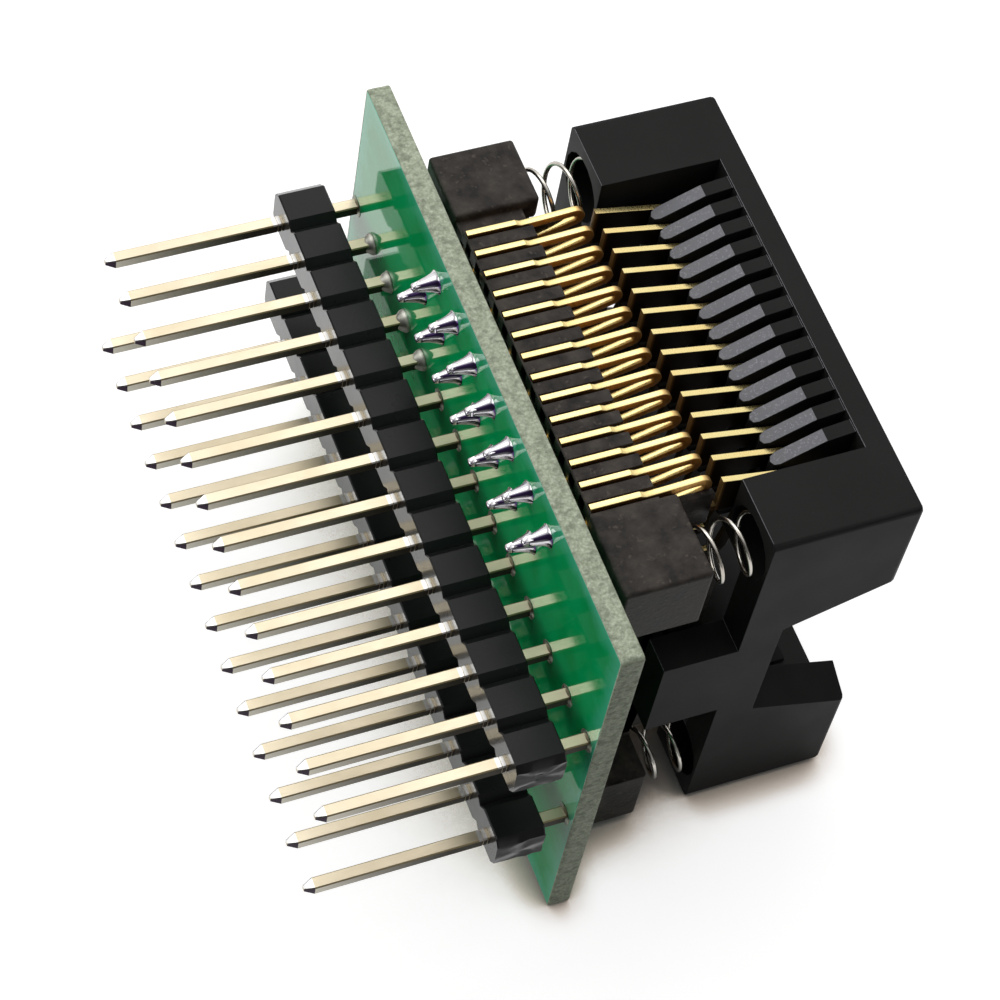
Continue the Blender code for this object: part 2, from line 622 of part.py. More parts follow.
def add_ribs(cover, place):
    """Join a row of ribs into a window, each with its outer side sloped inwards below a knee."""
    side = COVER_WIDTH / 2
    inner = side - COVER_SIDE_WALL + RIB_INNER_GAP
    outer = side - RIB_TOP_DEPTH
    mesh = outline_mesh("rib", rib_outline(), outer - inner, SIDE_VIEW)
    mesh.transform(Matrix.Translation((0.0, (inner + outer) / 2, 0.0)))
    bm = bmesh.new()
    bm.from_mesh(mesh)
    bpy.data.meshes.remove(mesh)
    knee = Vector((0.0, side - RIB_KNEE_DEPTH, WINDOW_TOP - RIB_KNEE_DROP))
    tip = Vector((0.0, side - RIB_TIP_DEPTH, WINDOW_TOP - RIB_TIP_DROP))
    top = Vector((0.0, outer, WINDOW_TOP))
    for upper, lower in ((top, knee), (knee, tip)):
        run = upper - lower
        slice_off(bm, lower, Vector((0.0, run.z, -run.y)))
    ribs = add_cutter("ribs", mesh_from_bmesh(bm, "rib"), place)
    count = CONTACTS_PER_SIDE - 1
    ribs.matrix_world = place @ Matrix.Translation((row_start(count, CONTACT_PITCH), 0.0, 0.0))
    repeat_along_x(ribs, count, CONTACT_PITCH)
    boolean(cover, ribs, "UNION")


def slice_off(bm, point, normal):
    """Cut away what lies on the normal's side of a plane, and close the cut."""
    geometry = bm.verts[:] + bm.edges[:] + bm.faces[:]
    cut = bmesh.ops.bisect_plane(bm, geom=geometry, plane_co=point, plane_no=normal, clear_outer=True)
    edges = [item for item in cut["geom_cut"] if isinstance(item, bmesh.types.BMEdge)]
    bmesh.ops.contextual_create(bm, geom=edges)


def spring_height(share, low, high):
    """Height of a spring's wire: even pitch between two closed end turns."""
    closed = 1.0 / SPRING_TURNS
    ramp = SPRING_WIRE * 1.1
    if share < closed:
        return low + ramp * share / closed
    if share > 1.0 - closed:
        return high - ramp * (1.0 - share) / closed
    middle = (share - closed) / (1.0 - 2.0 * closed)
    return low + ramp + (high - low - 2.0 * ramp) * middle


def make_spring(name, x, y, collection, material):
    """Coil spring between a base pocket and a cover pocket, as a wire along a helix."""
    seat = BLOCK_TOP - BASE_POCKET_DEPTH + SPRING_GAP + SPRING_WIRE / 2
    head = COVER_BOTTOM + COVER_POCKET_DEPTH - SPRING_GAP - SPRING_WIRE / 2
    curve = bpy.data.curves.new(name, "CURVE")
    curve.dimensions = "3D"
    curve.bevel_depth = SPRING_WIRE / 2
    curve.bevel_resolution = 1
    curve.use_fill_caps = True
    count = int(SPRING_TURNS * SPRING_POINTS_PER_TURN) + 1
    spline = curve.splines.new("POLY")
    spline.points.add(count - 1)
    for step, point in enumerate(spline.points):
        share = step / (count - 1)
        angle = 2.0 * math.pi * SPRING_TURNS * share
        z = spring_height(share, seat, head)
        point.co = (SPRING_RADIUS * math.cos(angle), SPRING_RADIUS * math.sin(angle), z, 1.0)
    curve.materials.append(material)
    spring = bpy.data.objects.new(name, curve)
    collection.objects.link(spring)
    spring.location = (SOCKET_SHIFT + x, y, 0.0)
    return spring


def main():
    """Build the whole adapter."""
    clear_scene()
    parts = new_collection("ic_programming_adapter")
    new_collection("construction")

    make_board(parts)
    strip = new_material("header_plastic", (0.02, 0.02, 0.022), 0.35, 0.0)
    pin = new_material("pin_metal", (0.78, 0.73, 0.62), 0.25, 1.0)
    for name, side in (("pin_header_near", -1), ("pin_header_far", 1)):
        make_header(name, side * ROW_SPACING / 2, parts, (strip, pin))

    make_base(parts, new_material("base_plastic", (0.035, 0.032, 0.03), 0.5, 0.0))
    make_contacts(parts, new_material("gold", (0.95, 0.68, 0.25), 0.22, 1.0))
    make_cover(parts, new_material("cover_plastic", (0.045, 0.045, 0.047), 0.45, 0.0))

    steel = new_material("spring_steel", (0.62, 0.61, 0.58), 0.2, 1.0)
    for side, y in (("near", -SPRING_Y), ("far", SPRING_Y)):
        for end, x in (("left", -SPRING_X), ("right", SPRING_X)):
            make_spring(f"spring_{side}_{end}", x, y, parts, steel)


if __name__ == "__main__":
    main()
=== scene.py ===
"""Looks of the chip adapter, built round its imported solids.

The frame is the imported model's: X runs along the pin rows, Y across them, and
Z points from the pin tips to the sprung cover. The near side is the -Y side.
Lengths are in metres.
"""

import functools
import logging
import math
from dataclasses import dataclass
from enum import Enum
from typing import Any, Mapping, Sequence

import bmesh
import bpy
from mathutils import Matrix, Vector, noise


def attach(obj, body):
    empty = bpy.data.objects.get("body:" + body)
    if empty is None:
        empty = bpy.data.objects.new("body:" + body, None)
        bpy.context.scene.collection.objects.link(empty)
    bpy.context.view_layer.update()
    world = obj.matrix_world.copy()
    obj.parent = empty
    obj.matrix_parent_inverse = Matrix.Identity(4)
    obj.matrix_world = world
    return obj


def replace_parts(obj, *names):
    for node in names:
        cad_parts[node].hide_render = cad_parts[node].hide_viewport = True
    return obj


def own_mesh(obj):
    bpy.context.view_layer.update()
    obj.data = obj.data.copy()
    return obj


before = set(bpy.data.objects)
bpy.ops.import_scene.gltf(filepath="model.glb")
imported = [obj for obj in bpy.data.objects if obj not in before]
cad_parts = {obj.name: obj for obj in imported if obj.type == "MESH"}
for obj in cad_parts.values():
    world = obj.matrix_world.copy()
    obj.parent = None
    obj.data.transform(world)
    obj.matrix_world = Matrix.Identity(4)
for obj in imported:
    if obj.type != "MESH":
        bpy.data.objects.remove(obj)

LOG = logging.getLogger("chip_adapter")
MM = 0.001
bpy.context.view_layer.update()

# Turns a flat outline of (Y, Z) points upright, with its thickness along X.
END_VIEW = Matrix.Rotation(math.radians(90), 4, "Z") @ Matrix.Rotation(math.radians(90), 4, "X")

Outline = list[tuple[float, float]]
Colour = tuple[float, float, float]
Piece = bpy.types.Object
Mesh = bpy.types.Mesh
Node = bpy.types.Node
Tree = bpy.types.NodeTree
Socket = bpy.types.NodeSocket


class Body(Enum):
    """The bodies that pieces ride on."""

    ADAPTER = "adapter"
    COVER = "cover"


class Slot(Enum):
    """The record's material slots."""

    MASK = "solder_mask"
    HEADER = "header"
    BASE = "base_plastic"
    COVER = "cover_plastic"
    GOLD = "gold_contact"
    STEEL = "spring_steel"


@dataclass(frozen=True)
class Layout:
    """Places and pitches that several sub-assemblies share."""

    pins_per_row: int = 14
    pin_pitch: float = 2.54 * MM
    row_spacing: float = 7.62 * MM
    contacts_per_side: int = 14
    contact_pitch: float = 1.27 * MM
    socket_x: float = 0.69 * MM
    strip_low: float = 9.53 * MM
    strip_high: float = 12.07 * MM
    board_low: float = 13.64 * MM
    board_high: float = 14.84 * MM
    base_low: float = 15.30 * MM
    inner_tail: float = 7.96 * MM
    outer_tail: float = 10.50 * MM

    @property
    def first_pin(self) -> float:
        """Return the place of the first pin along a row."""
        return -(self.pins_per_row - 1) * self.pin_pitch / 2

    @property
    def first_contact(self) -> float:
        """Return the place of the first contact from the socket's middle."""
        return -(self.contacts_per_side - 1) * self.contact_pitch / 2


LAYOUT = Layout()


# Node trees


class Nodes:
    """Adds and links the nodes of one tree."""

    def __init__(self, tree: Tree) -> None:
        """Keep the tree that nodes are added to."""
        self.tree = tree

    def add(self, kind: str, inputs: Mapping[Any, Any] | None = None, **settings: Any) -> Node:
        """Add a node.

        Args:
            kind: Blender's name of the node type.
            inputs: Values or sockets for its inputs, by name or number.
            settings: Properties of the node.

        Returns:
            The new node.
        """
        node = self.tree.nodes.new(kind)
        for key, value in settings.items():
            setattr(node, key, value)
        for key, value in (inputs or {}).items():
            self.feed(node.inputs[key], value)
        return node

    def feed(self, socket: Socket, value: Any) -> None:
        """Link another socket into this one, or set its plain value."""
        if isinstance(value, Socket):
            self.tree.links.new(value, socket)
        else:
            socket.default_value = value

    def maths(self, operation: str, *values: Any) -> Socket:
        """Add a Math node with its inputs in order, and return its output."""
        return self.add("ShaderNodeMath", dict(enumerate(values)), operation=operation).outputs[0]

    def times(self, *values: Any) -> Socket:
        """Multiply the values, from first to last."""
        return functools.reduce(functools.partial(self.maths, "MULTIPLY"), values)

    plus = functools.partialmethod(maths, "ADD")
    minus = functools.partialmethod(maths, "SUBTRACT")
    share = functools.partialmethod(maths, "DIVIDE")
    power = functools.partialmethod(maths, "POWER")
    largest = functools.partialmethod(maths, "MAXIMUM")
    smallest = functools.partialmethod(maths, "MINIMUM")
    unsigned = functools.partialmethod(maths, "ABSOLUTE")

    def stretch(self, vector: Any, factors: Any) -> Socket:
        """Multiply a vector by a factor along each axis."""
        return self.add("ShaderNodeVectorMath", {0: vector, 1: factors}, operation="MULTIPLY").outputs[0]

    def vector(self, x: Any, y: Any, z: Any) -> Socket:
        """Put three values together into a vector."""
        return self.add("ShaderNodeCombineXYZ", {0: x, 1: y, 2: z}).outputs[0]

    def parts(self, vector: Any) -> Any:
        """Split a vector, and return the outputs for X, Y and Z."""
        return self.add("ShaderNodeSeparateXYZ", {0: vector}).outputs

    def flat_facing(self) -> Any:
        """Return X, Y and Z of the way that each flat face turns."""
        return self.parts(self.add("ShaderNodeNewGeometry").outputs["True Normal"])

    def noise(self, vector: Any, scale: Any, detail: float, roughness: float = 0.5) -> Socket:
        """Add a Noise Texture and return its value."""
        inputs = {"Vector": vector, "Scale": scale, "Detail": detail, "Roughness": roughness}
        return self.add("ShaderNodeTexNoise", inputs).outputs["Fac"]

    def remap(self, value: Any, low: Any, high: Any, to_low: Any = 0.0,
              to_high: Any = 1.0) -> Socket:
        """Map one range of values onto another, clamped."""
        inputs = {0: value, 1: low, 2: high, 3: to_low, 4: to_high}
        return self.add("ShaderNodeMapRange", inputs).outputs[0]

    def mix(self, factor: Any, first: Any, second: Any, blend: str = "MIX") -> Socket:
        """Mix the second colour into the first by a factor."""
        inputs = {0: factor, 6: rgba(first), 7: rgba(second)}
        return self.add("ShaderNodeMix", inputs, data_type="RGBA", blend_type=blend).outputs[2]

    def group(self, tree: Tree, inputs: Mapping[str, Any]) -> Any:
        """Place a shared group and return its outputs, by name."""
        return self.add("ShaderNodeGroup", inputs, node_tree=tree).outputs

    def output(self, **values: Socket) -> Tree:
        """Feed the group's outputs by name, and return its finished tree."""
        self.add("NodeGroupOutput", values)
        return self.tree

    def dressed(self, geometry: Socket, finish: Socket) -> "Nodes":
        """End a geometry tree with real copies in their finish.

        Args:
            geometry: What the tree has made.
            finish: The material input.

        Returns:
            The tree's nodes.
        """
        real = self.add("GeometryNodeRealizeInstances", {"Geometry": geometry}).outputs[0]
        done = self.add("GeometryNodeSetMaterial", {"Geometry": real, "Material": finish}).outputs[0]
        self.add("NodeGroupOutput", {0: done})
        return self


def rgba(colour: Any) -> Any:
    """Return a colour with its alpha, or a socket as it is."""
    return colour if isinstance(colour, Socket) else (*colour, 1.0)


def new_group(name: str, kind: str, inputs: Sequence[tuple], outputs: Sequence[tuple[str, str]]) -> Nodes:
    """Make a node group with named sockets.

    Args:
        name: The group's name.
        kind: The tree type.
        inputs: Name and socket type of each input, and its default where it has one.
        outputs: Name and socket type of each output.

    Returns:
        The group's tree, ready for nodes.
    """
    tree = bpy.data.node_groups.new(name, kind)
    for label, socket_type, *default in inputs:
        socket = tree.interface.new_socket(name=label, in_out="INPUT", socket_type=socket_type)
        if default:
            socket.default_value = default[0]
    for label, socket_type in outputs:
        tree.interface.new_socket(name=label, in_out="OUTPUT", socket_type=socket_type)
    return Nodes(tree)


FLOAT, VECTOR, INTEGER = "NodeSocketFloat", "NodeSocketVector", "NodeSocketInt"
SWITCH, MATERIAL, GEOMETRY = "NodeSocketBool", "NodeSocketMaterial", "NodeSocketGeometry"


@functools.cache
def grain_group() -> Tree:
    """Build the moulded grain: a fine pebble height, a slow cloud and a few bright flecks.

    Returns:
        The shader group.
    """
    nodes = new_group(
        "moulded_grain", "ShaderNodeTree",
        [("Position", VECTOR), ("Grain Size", FLOAT), ("Cloud Size", FLOAT), ("Fleck Share", FLOAT)],
        [("Height", FLOAT), ("Cloud", FLOAT), ("Fleck", FLOAT)],
    )
    given = nodes.add("NodeGroupInput").outputs
    position = given["Position"]
    fine = nodes.share(1.0, given["Grain Size"])
    cloud = nodes.noise(position, nodes.share(1.0, given["Cloud Size"]), 3.0)
    spots = nodes.noise(position, nodes.times(fine, 0.8), 1.0, 0.7)
    fleck = nodes.times(nodes.minus(spots, nodes.minus(0.78, given["Fleck Share"])), 9.0)
    return nodes.output(Height=nodes.noise(position, fine, 2.0, 0.65),
                        Cloud=nodes.remap(cloud, 0.3, 0.7), Fleck=nodes.remap(fleck, 0.0, 1.0))


@functools.cache
def drawn_group() -> Tree:
    """Build the marks of drawing and stamping: streaks along an axis, and a slow tarnish.

    Returns:
        The shader group.
    """
    nodes = new_group(
        "drawn_marks", "ShaderNodeTree",
        [("Position", VECTOR), ("Streak", VECTOR), ("Mark Size", FLOAT), ("Tarnish Size", FLOAT, 3.0 * MM)],
        [("Height", FLOAT), ("Tarnish", FLOAT)],
    )
    given = nodes.add("NodeGroupInput").outputs
    streaked = nodes.stretch(given["Position"], given["Streak"])
    marks = nodes.noise(streaked, nodes.share(1.0, given["Mark Size"]), 3.0)
    tarnish = nodes.noise(given["Position"], nodes.share(1.0, given["Tarnish Size"]), 4.0)
    return nodes.output(Height=marks, Tarnish=nodes.remap(tarnish, 0.35, 0.7))


@functools.cache
def glass_cloth_group() -> Tree:
    """Build the cut edge of a glass-cloth laminate: resin, pale fibre ends and dark gaps.

    Returns:
        The shader group.
    """
    nodes = new_group(
        "glass_cloth", "ShaderNodeTree",
        [("Position", VECTOR), ("Fibre Size", FLOAT)],
        [("Fibre", FLOAT), ("Gap", FLOAT), ("Height", FLOAT)],
    )
    given = nodes.add("NodeGroupInput").outputs
    dense = nodes.share(1.0, given["Fibre Size"])
    drawn = nodes.stretch(given["Position"], (1.0, 1.0, 0.8))
    yarn = nodes.noise(drawn, dense, 3.0, 0.7)
    ends = nodes.noise(given["Position"], nodes.times(dense, 2.2), 2.0, 0.6)
    gaps = nodes.noise(drawn, nodes.times(dense, 0.5), 3.0, 0.6)
    gap = nodes.plus(nodes.times(yarn, 0.6), nodes.times(gaps, 0.4))
    return nodes.output(Fibre=nodes.remap(ends, 0.38, 0.66), Gap=nodes.remap(gap, 0.44, 0.62), Height=yarn)


# Finishes


class Shading(Nodes):
    """The nodes of one material, with its Principled shader and Object coordinates."""

    def __init__(self, material: bpy.types.Material) -> None:
        """Open a new material's tree.

        Args:
            material: The material.
        """
        material.use_nodes = True
        super().__init__(material.node_tree)
        self.shader = self.tree.nodes["Principled BSDF"]
        self.position = self.add("ShaderNodeTexCoord").outputs["Object"]

    def set(self, values: Mapping[str, Any]) -> None:
        """Link or set the shader's own inputs, by name."""
        for name, value in values.items():
            self.feed(self.shader.inputs[name], value)

    def bump(self, height: Any, strength: float, depth: float) -> None:
        """Feed a Bump node into the shader's normal; its depth is in metres."""
        inputs = {"Strength": strength, "Distance": depth, "Height": height}
        self.set({"Normal": self.add("ShaderNodeBump", inputs).outputs[0]})


class Finish:
    """A procedural material with one Principled shader."""

    name: str

    def material(self) -> bpy.types.Material:
        """Return this finish's material, built once."""
        return bpy.data.materials.get(self.name) or self.build()

    def build(self) -> bpy.types.Material:
        """Make the material.

        Returns:
            The new material.
        """
        material = bpy.data.materials.new(self.name)
        self.dress(Shading(material))
        return material

    def dress(self, nodes: Shading) -> None:
        """Wire the shader; each finish has its own way."""
        raise NotImplementedError


@dataclass(frozen=True)
class MouldedPlastic(Finish):
    """Dark moulded plastic with a pebble grain and pale flecks."""

    name: str
    colour: Colour
    cloud_colour: Colour
    fleck_colour: Colour
    roughness: float
    grain_size: float
    grain_depth: float
    fleck_share: float
    specular: float
    grazing_gloss: float
    gloss_roughness: float = 0.2
    cloud_size: float = 3.5 * MM
    gloss_start: float = 0.45
    gloss_full: float = 0.72
    grain_strength: float = 0.5

    def dress(self, nodes: Shading) -> None:
        """Wire grain, cloud and flecks.

        Args:
            nodes: The material's nodes.
        """
        grain = nodes.group(grain_group(), {
            "Position": nodes.position, "Grain Size": self.grain_size, "Cloud Size": self.cloud_size,
            "Fleck Share": self.fleck_share,
        })
        clouded = nodes.mix(grain["Cloud"], self.colour, self.cloud_colour)
        facing = nodes.add("ShaderNodeLayerWeight", {"Blend": 0.5}).outputs["Facing"]
        nodes.set({
            "Base Color": nodes.mix(grain["Fleck"], clouded, self.fleck_colour),
            "Roughness": nodes.remap(grain["Cloud"], 0.0, 1.0, self.roughness - 0.05, self.roughness + 0.07),
            "Coat Weight": nodes.remap(facing, self.gloss_start, self.gloss_full, 0.0, self.grazing_gloss),
            "Coat Roughness": self.gloss_roughness, "Specular IOR Level": self.specular,
        })
        nodes.bump(grain["Height"], self.grain_strength, self.grain_depth)


@dataclass(frozen=True)
class DrawnMetal(Finish):
    """Drawn, stamped or plated metal with streaks along one axis, and on some a duller flank colour with
    painted shade.
    """

    name: str
    colour: Colour
    tarnish_colour: Colour
    roughness: float
    streak: tuple[float, float, float] = (1.0, 1.0, 1.0)
    # The flank colour is partly the sheared edges' own duller metal and partly painted shade; the under
    # share, the painted shade colour and span and the matt share paint shade on undersides and high parts.
    flank_and_shade_colour: Colour | None = None
    flank_share: float = 0.85
    under_shade_share: float = 0.0
    painted_shade_colour: Colour = (0.05, 0.042, 0.03)
    painted_shade_span: tuple[float, float] = (1 * MM, 9 * MM)
    painted_shade_matt: float = 0.0
    mark_size: float = 0.06 * MM
    mark_depth: float = 0.004 * MM

    def dress(self, nodes: Shading) -> None:
        """Wire streaks, tarnish, and the flanks' duller colour with painted shade.

        Args:
            nodes: The material's nodes.
        """
        marks = nodes.group(drawn_group(), {
            "Position": nodes.position, "Streak": self.streak, "Mark Size": self.mark_size,
        })
        colour = nodes.mix(marks["Tarnish"], self.colour, self.tarnish_colour)
        worn = nodes.remap(marks["Height"], 0.3, 0.7, self.roughness - 0.04, self.roughness + 0.06)
        metallic: Any = 1.0
        # Painted shade: flanks take the flank colour, which turns to the dark painted shade colour, and matt,
        # with height across the span.
        if self.flank_and_shade_colour is not None:
            flank_and_shade, deep = self.shaded(nodes)
            colour = nodes.mix(flank_and_shade, colour, nodes.mix(deep, self.flank_and_shade_colour, self.painted_shade_colour))
            metallic = nodes.minus(1.0, nodes.times(flank_and_shade, deep, self.painted_shade_matt))
            worn = nodes.plus(worn, nodes.times(flank_and_shade, 0.12))
            nodes.set({"Specular IOR Level": 0.1})
        nodes.set({"Base Color": self.trimmed(nodes, colour), "Roughness": worn, "Metallic": metallic})
        nodes.bump(marks["Height"], 0.35, self.mark_depth)

    def trimmed(self, nodes: Shading, colour: Socket) -> Socket:
        """Return the colour as it is; a metal with tips or corners of its own changes it here."""
        return colour

    def shaded(self, nodes: Shading) -> tuple[Socket, Socket]:
        """Mask the sheared flanks and the undersides, which take the flank colour and painted shade, and how
        deep the painted shade is.

        Args:
            nodes: The material's nodes.

        Returns:
            The mask of the flanks and their painted shade, and how deep the painted shade is at each point.
        """
        facing = nodes.flat_facing()
        # Faces turned to +X or -X are flanks; faces turned down get painted shade; the painted shade deepens
        # with height.
        side = nodes.remap(nodes.unsigned(facing[0]), 0.55, 0.95, 0.0, self.flank_share)
        under = nodes.remap(facing[2], -0.85, -0.5, self.under_shade_share, 0.0)
        deep = nodes.remap(nodes.parts(nodes.position)[2], *self.painted_shade_span)
        return nodes.largest(side, under), deep


@dataclass(frozen=True)
class PinPlate(DrawnMetal):
    """Pin plating with a painted highlight on the tip's bright facet, painted shade on its dark facet,
    painted dark lines along the corners, and a painted highlight band at the root.
    """

    # All colours below are painted light: shade along the corners and on the tip's dark facet, highlights on
    # the tip's bright facet and in a band at the root.
    painted_corner_shade: Colour = (0.40, 0.31, 0.15)
    painted_tip_shade: Colour = (0.035, 0.02, 0.04)
    painted_tip_highlight: Colour = (1.0, 1.0, 1.0)
    tip_top: float = 0.8 * MM
    tip_fade: float = 0.1 * MM
    painted_root_highlight_band: tuple[float, float] = (8.95 * MM, 9.40 * MM)
    highlight_band_fade: float = 0.06 * MM

    def trimmed(self, nodes: Shading, colour: Socket) -> Socket:
        """Paint shade on the corners and the tip's dark facet, and highlights on the tip's bright facet and
        the band at the root.

        Args:
            nodes: The material's nodes.
            colour: The colour so far.

        Returns:
            The finished colour.
        """
        facing = nodes.flat_facing()
        across, along = nodes.unsigned(facing[0]), nodes.unsigned(facing[1])
        height = nodes.parts(nodes.position)[2]
        corner = nodes.remap(nodes.smallest(across, along), 0.2, 0.35, 0.0, 0.85)
        tip = nodes.times(nodes.remap(facing[2], -0.28, -0.16, 1.0, 0.0),
                          nodes.remap(height, self.tip_top, self.tip_top + self.tip_fade, 1.0, 0.0))
        low, high = self.painted_root_highlight_band
        painted_band = nodes.times(nodes.remap(height, low, low + self.highlight_band_fade, 0.0, 0.85),
                           nodes.remap(height, high, high + self.highlight_band_fade, 1.0, 0.0))
        colour = nodes.mix(corner, colour, self.painted_corner_shade)
        for mask in (tip, painted_band):
            painted_highlight = nodes.times(mask, nodes.remap(along, 0.5, 0.8))
            colour = nodes.mix(painted_highlight, colour, self.painted_tip_highlight)
        return nodes.mix(nodes.times(tip, nodes.remap(across, 0.4, 0.7)), colour, self.painted_tip_shade)


@dataclass(frozen=True)
class GoldPlate(DrawnMetal):
    """Gold plate with painted shade on the risers, which stand far behind the loops, and where the loops turn
    over.
    """

    # The riser and turn ranges place painted shade: on the risers behind the loops and where the loops turn
    # over.
    riser_reach: tuple[float, float] = (10.0 * MM, 10.5 * MM)
    riser_top: tuple[float, float] = (22.4 * MM, 22.7 * MM)
    turn: tuple[float, float] = (20.9 * MM, 21.6 * MM)
    turn_shade_fade: float = 0.4 * MM

    def shaded(self, nodes: Shading) -> tuple[Socket, Socket]:
        """Add painted shade on the risers and where the loops turn over to the flanks.

        Args:
            nodes: The material's nodes.

        Returns:
            The mask of the flanks, and how deep each point lies.
        """
        flank_and_shade, deep = super().shaded(nodes)
        place = nodes.parts(nodes.position)
        riser_shade = nodes.times(nodes.remap(nodes.unsigned(place[1]), *self.riser_reach, 1.0, 0.0),
                            nodes.remap(place[2], *self.riser_top, 0.9, 0.0))
        low = self.riser_top[0]
        turned = nodes.times(nodes.remap(place[2], *self.turn, 0.0, 0.75),
                             nodes.remap(place[2], low - self.turn_shade_fade, low, 1.0, 0.0))
        return nodes.largest(nodes.largest(flank_and_shade, turned), riser_shade), nodes.largest(deep, riser_shade)


@dataclass(frozen=True)
class SolderMask(Finish):
    """Glossy green lacquer that mirrors what stands on it, and is paler where the edge lets light in."""

    name: str
    colour: Colour
    cloud_colour: Colour
    rim_colour: Colour
    half_size: tuple[float, float] = (17.33 * MM, 12.66 * MM)
    middle: float = 0.14 * MM
    rim_width: float = 1.6 * MM
    coat_ior: float = 1.7

    def rim(self, nodes: Shading) -> Socket:
        """Return how near a point is to the board's edge, from 0 inside to 1 at the edge.

        Args:
            nodes: The material's nodes.

        Returns:
            The nearness.
        """
        place = nodes.parts(nodes.position)
        along = nodes.unsigned(nodes.minus(place[0], self.middle))
        depth = nodes.smallest(nodes.minus(self.half_size[0], along),
                               nodes.minus(self.half_size[1], nodes.unsigned(place[1])))
        width = nodes.times(nodes.noise(nodes.position, 900.0, 3.0), self.rim_width * 2)
        near = nodes.minus(1.0, nodes.share(depth, width))
        return nodes.power(nodes.remap(near, 0.0, 1.0), 1.5)

    def dress(self, nodes: Shading) -> None:
        """Wire the lacquer's slow shade, its dimples, its pale rim and its clear top.

        Args:
            nodes: The material's nodes.
        """
        grain = nodes.group(grain_group(), {
            "Position": nodes.position, "Grain Size": 0.45 * MM, "Cloud Size": 2.6 * MM, "Fleck Share": 0.0,
        })
        clouded = nodes.mix(grain["Cloud"], self.colour, self.cloud_colour)
        nodes.set({
            "Base Color": nodes.mix(self.rim(nodes), clouded, self.rim_colour),
            "Roughness": nodes.remap(grain["Cloud"], 0.0, 1.0, 0.05, 0.10),
            "Specular IOR Level": 0.1, "Coat Weight": 1.0, "Coat Roughness": 0.02, "Coat IOR": self.coat_ior,
        })
        nodes.bump(grain["Height"], 0.12, 0.004 * MM)


@dataclass(frozen=True)
class Laminate(Finish):
    """Cut glass-cloth laminate: resin, pale fibre ends and darker gaps."""

    name: str
    resin: Colour
    fibre: Colour
    gap: Colour

    def dress(self, nodes: Shading) -> None:
        """Wire the fibres and the rough cut.

        Args:
            nodes: The material's nodes.
        """
        cloth = nodes.group(glass_cloth_group(), {"Position": nodes.position, "Fibre Size": 0.30 * MM})
        pale = nodes.mix(cloth["Fibre"], self.resin, self.fibre)
        nodes.set({
            "Base Color": nodes.mix(nodes.times(cloth["Gap"], 0.7), pale, self.gap),
            "Roughness": nodes.remap(cloth["Height"], 0.3, 0.7, 0.42, 0.75),
        })
        nodes.bump(cloth["Height"], 0.6, 0.04 * MM)


@dataclass(frozen=True)
class Solder(Finish):
    """Bright solder with a slow ripple, a faint cool tint and, on some, a painted dark reflection band."""

    name: str
    colour: Colour
    dull_colour: Colour
    roughness: float
    ripple: float
    painted_band_colour: Colour | None = None

    def dress(self, nodes: Shading) -> None:
        """Wire the ripple, the dull patches and the painted reflection band.

        Args:
            nodes: The material's nodes.
        """
        marks = nodes.group(drawn_group(), {
            "Position": nodes.position, "Streak": (1.0, 1.0, 0.4), "Mark Size": 0.35 * MM,
            "Tarnish Size": 0.8 * MM,
        })
        colour = nodes.mix(marks["Tarnish"], self.colour, self.dull_colour)
        # Painted reflection: a dark violet band where the surface turns partly toward +X.
        if self.painted_band_colour is not None:
            side = nodes.parts(nodes.add("ShaderNodeNewGeometry").outputs["Normal"])[0]
            painted_band = nodes.times(nodes.remap(side, 0.22, 0.34), nodes.remap(side, 0.66, 0.80, 1.0, 0.0))
            colour = nodes.mix(painted_band, colour, self.painted_band_colour)
        dull = nodes.remap(marks["Tarnish"], 0.0, 1.0, self.roughness, self.roughness + 0.08)
        nodes.set({"Base Color": colour, "Roughness": dull, "Metallic": 1.0})
        nodes.bump(marks["Height"], 0.4, self.ripple)


MASK = SolderMask(
    "green_lacquer", colour=(0.001, 0.46, 0.115), cloud_colour=(0.002, 0.59, 0.180),
    rim_colour=(0.10, 0.74, 0.45),
)
LAMINATE = Laminate(
    "glass_laminate", resin=(0.38, 0.43, 0.305), fibre=(0.56, 0.625, 0.48), gap=(0.19, 0.218, 0.15),
)
HEADER_PLASTIC = MouldedPlastic(
    "header_plastic", colour=(0.008, 0.008, 0.009), cloud_colour=(0.012, 0.012, 0.013),
    fleck_colour=(0.05, 0.05, 0.05), roughness=0.30, grain_size=0.12 * MM, grain_depth=0.006 * MM,
    fleck_share=0.02, specular=0.20, grazing_gloss=1.0, gloss_roughness=0.10, gloss_start=0.60,
)
BASE_PLASTIC = MouldedPlastic(
    "grainy_base_plastic", colour=(0.018, 0.0158, 0.0148), cloud_colour=(0.074, 0.063, 0.055),
    fleck_colour=(0.085, 0.070, 0.059), roughness=0.44, grain_size=0.24 * MM, grain_depth=0.075 * MM,
    fleck_share=0.15, specular=0.12, grazing_gloss=0.2, gloss_roughness=0.35, cloud_size=0.9 * MM,
)
COVER_PLASTIC = MouldedPlastic(
    "matt_cover_plastic", colour=(0.014, 0.014, 0.0138), cloud_colour=(0.020, 0.020, 0.0198),
    fleck_colour=(0.055, 0.055, 0.053), roughness=0.44, grain_size=0.06 * MM, grain_depth=0.010 * MM,
    fleck_share=0.03, specular=0.08, grazing_gloss=0.1, gloss_roughness=0.35,
)
# Paler grey: painted light for the ribs' sloped ends that face the light from below; the grain and flecks are
# the plastic's own texture.
TONGUE_PLASTIC = MouldedPlastic(
    "rib_slope_painted_light_plastic", colour=(0.180, 0.182, 0.200), cloud_colour=(0.220, 0.222, 0.243),
    fleck_colour=(0.30, 0.303, 0.33), roughness=0.60, grain_size=0.10 * MM, grain_depth=0.022 * MM,
    fleck_share=0.20, specular=0.30, grazing_gloss=0.0,
)
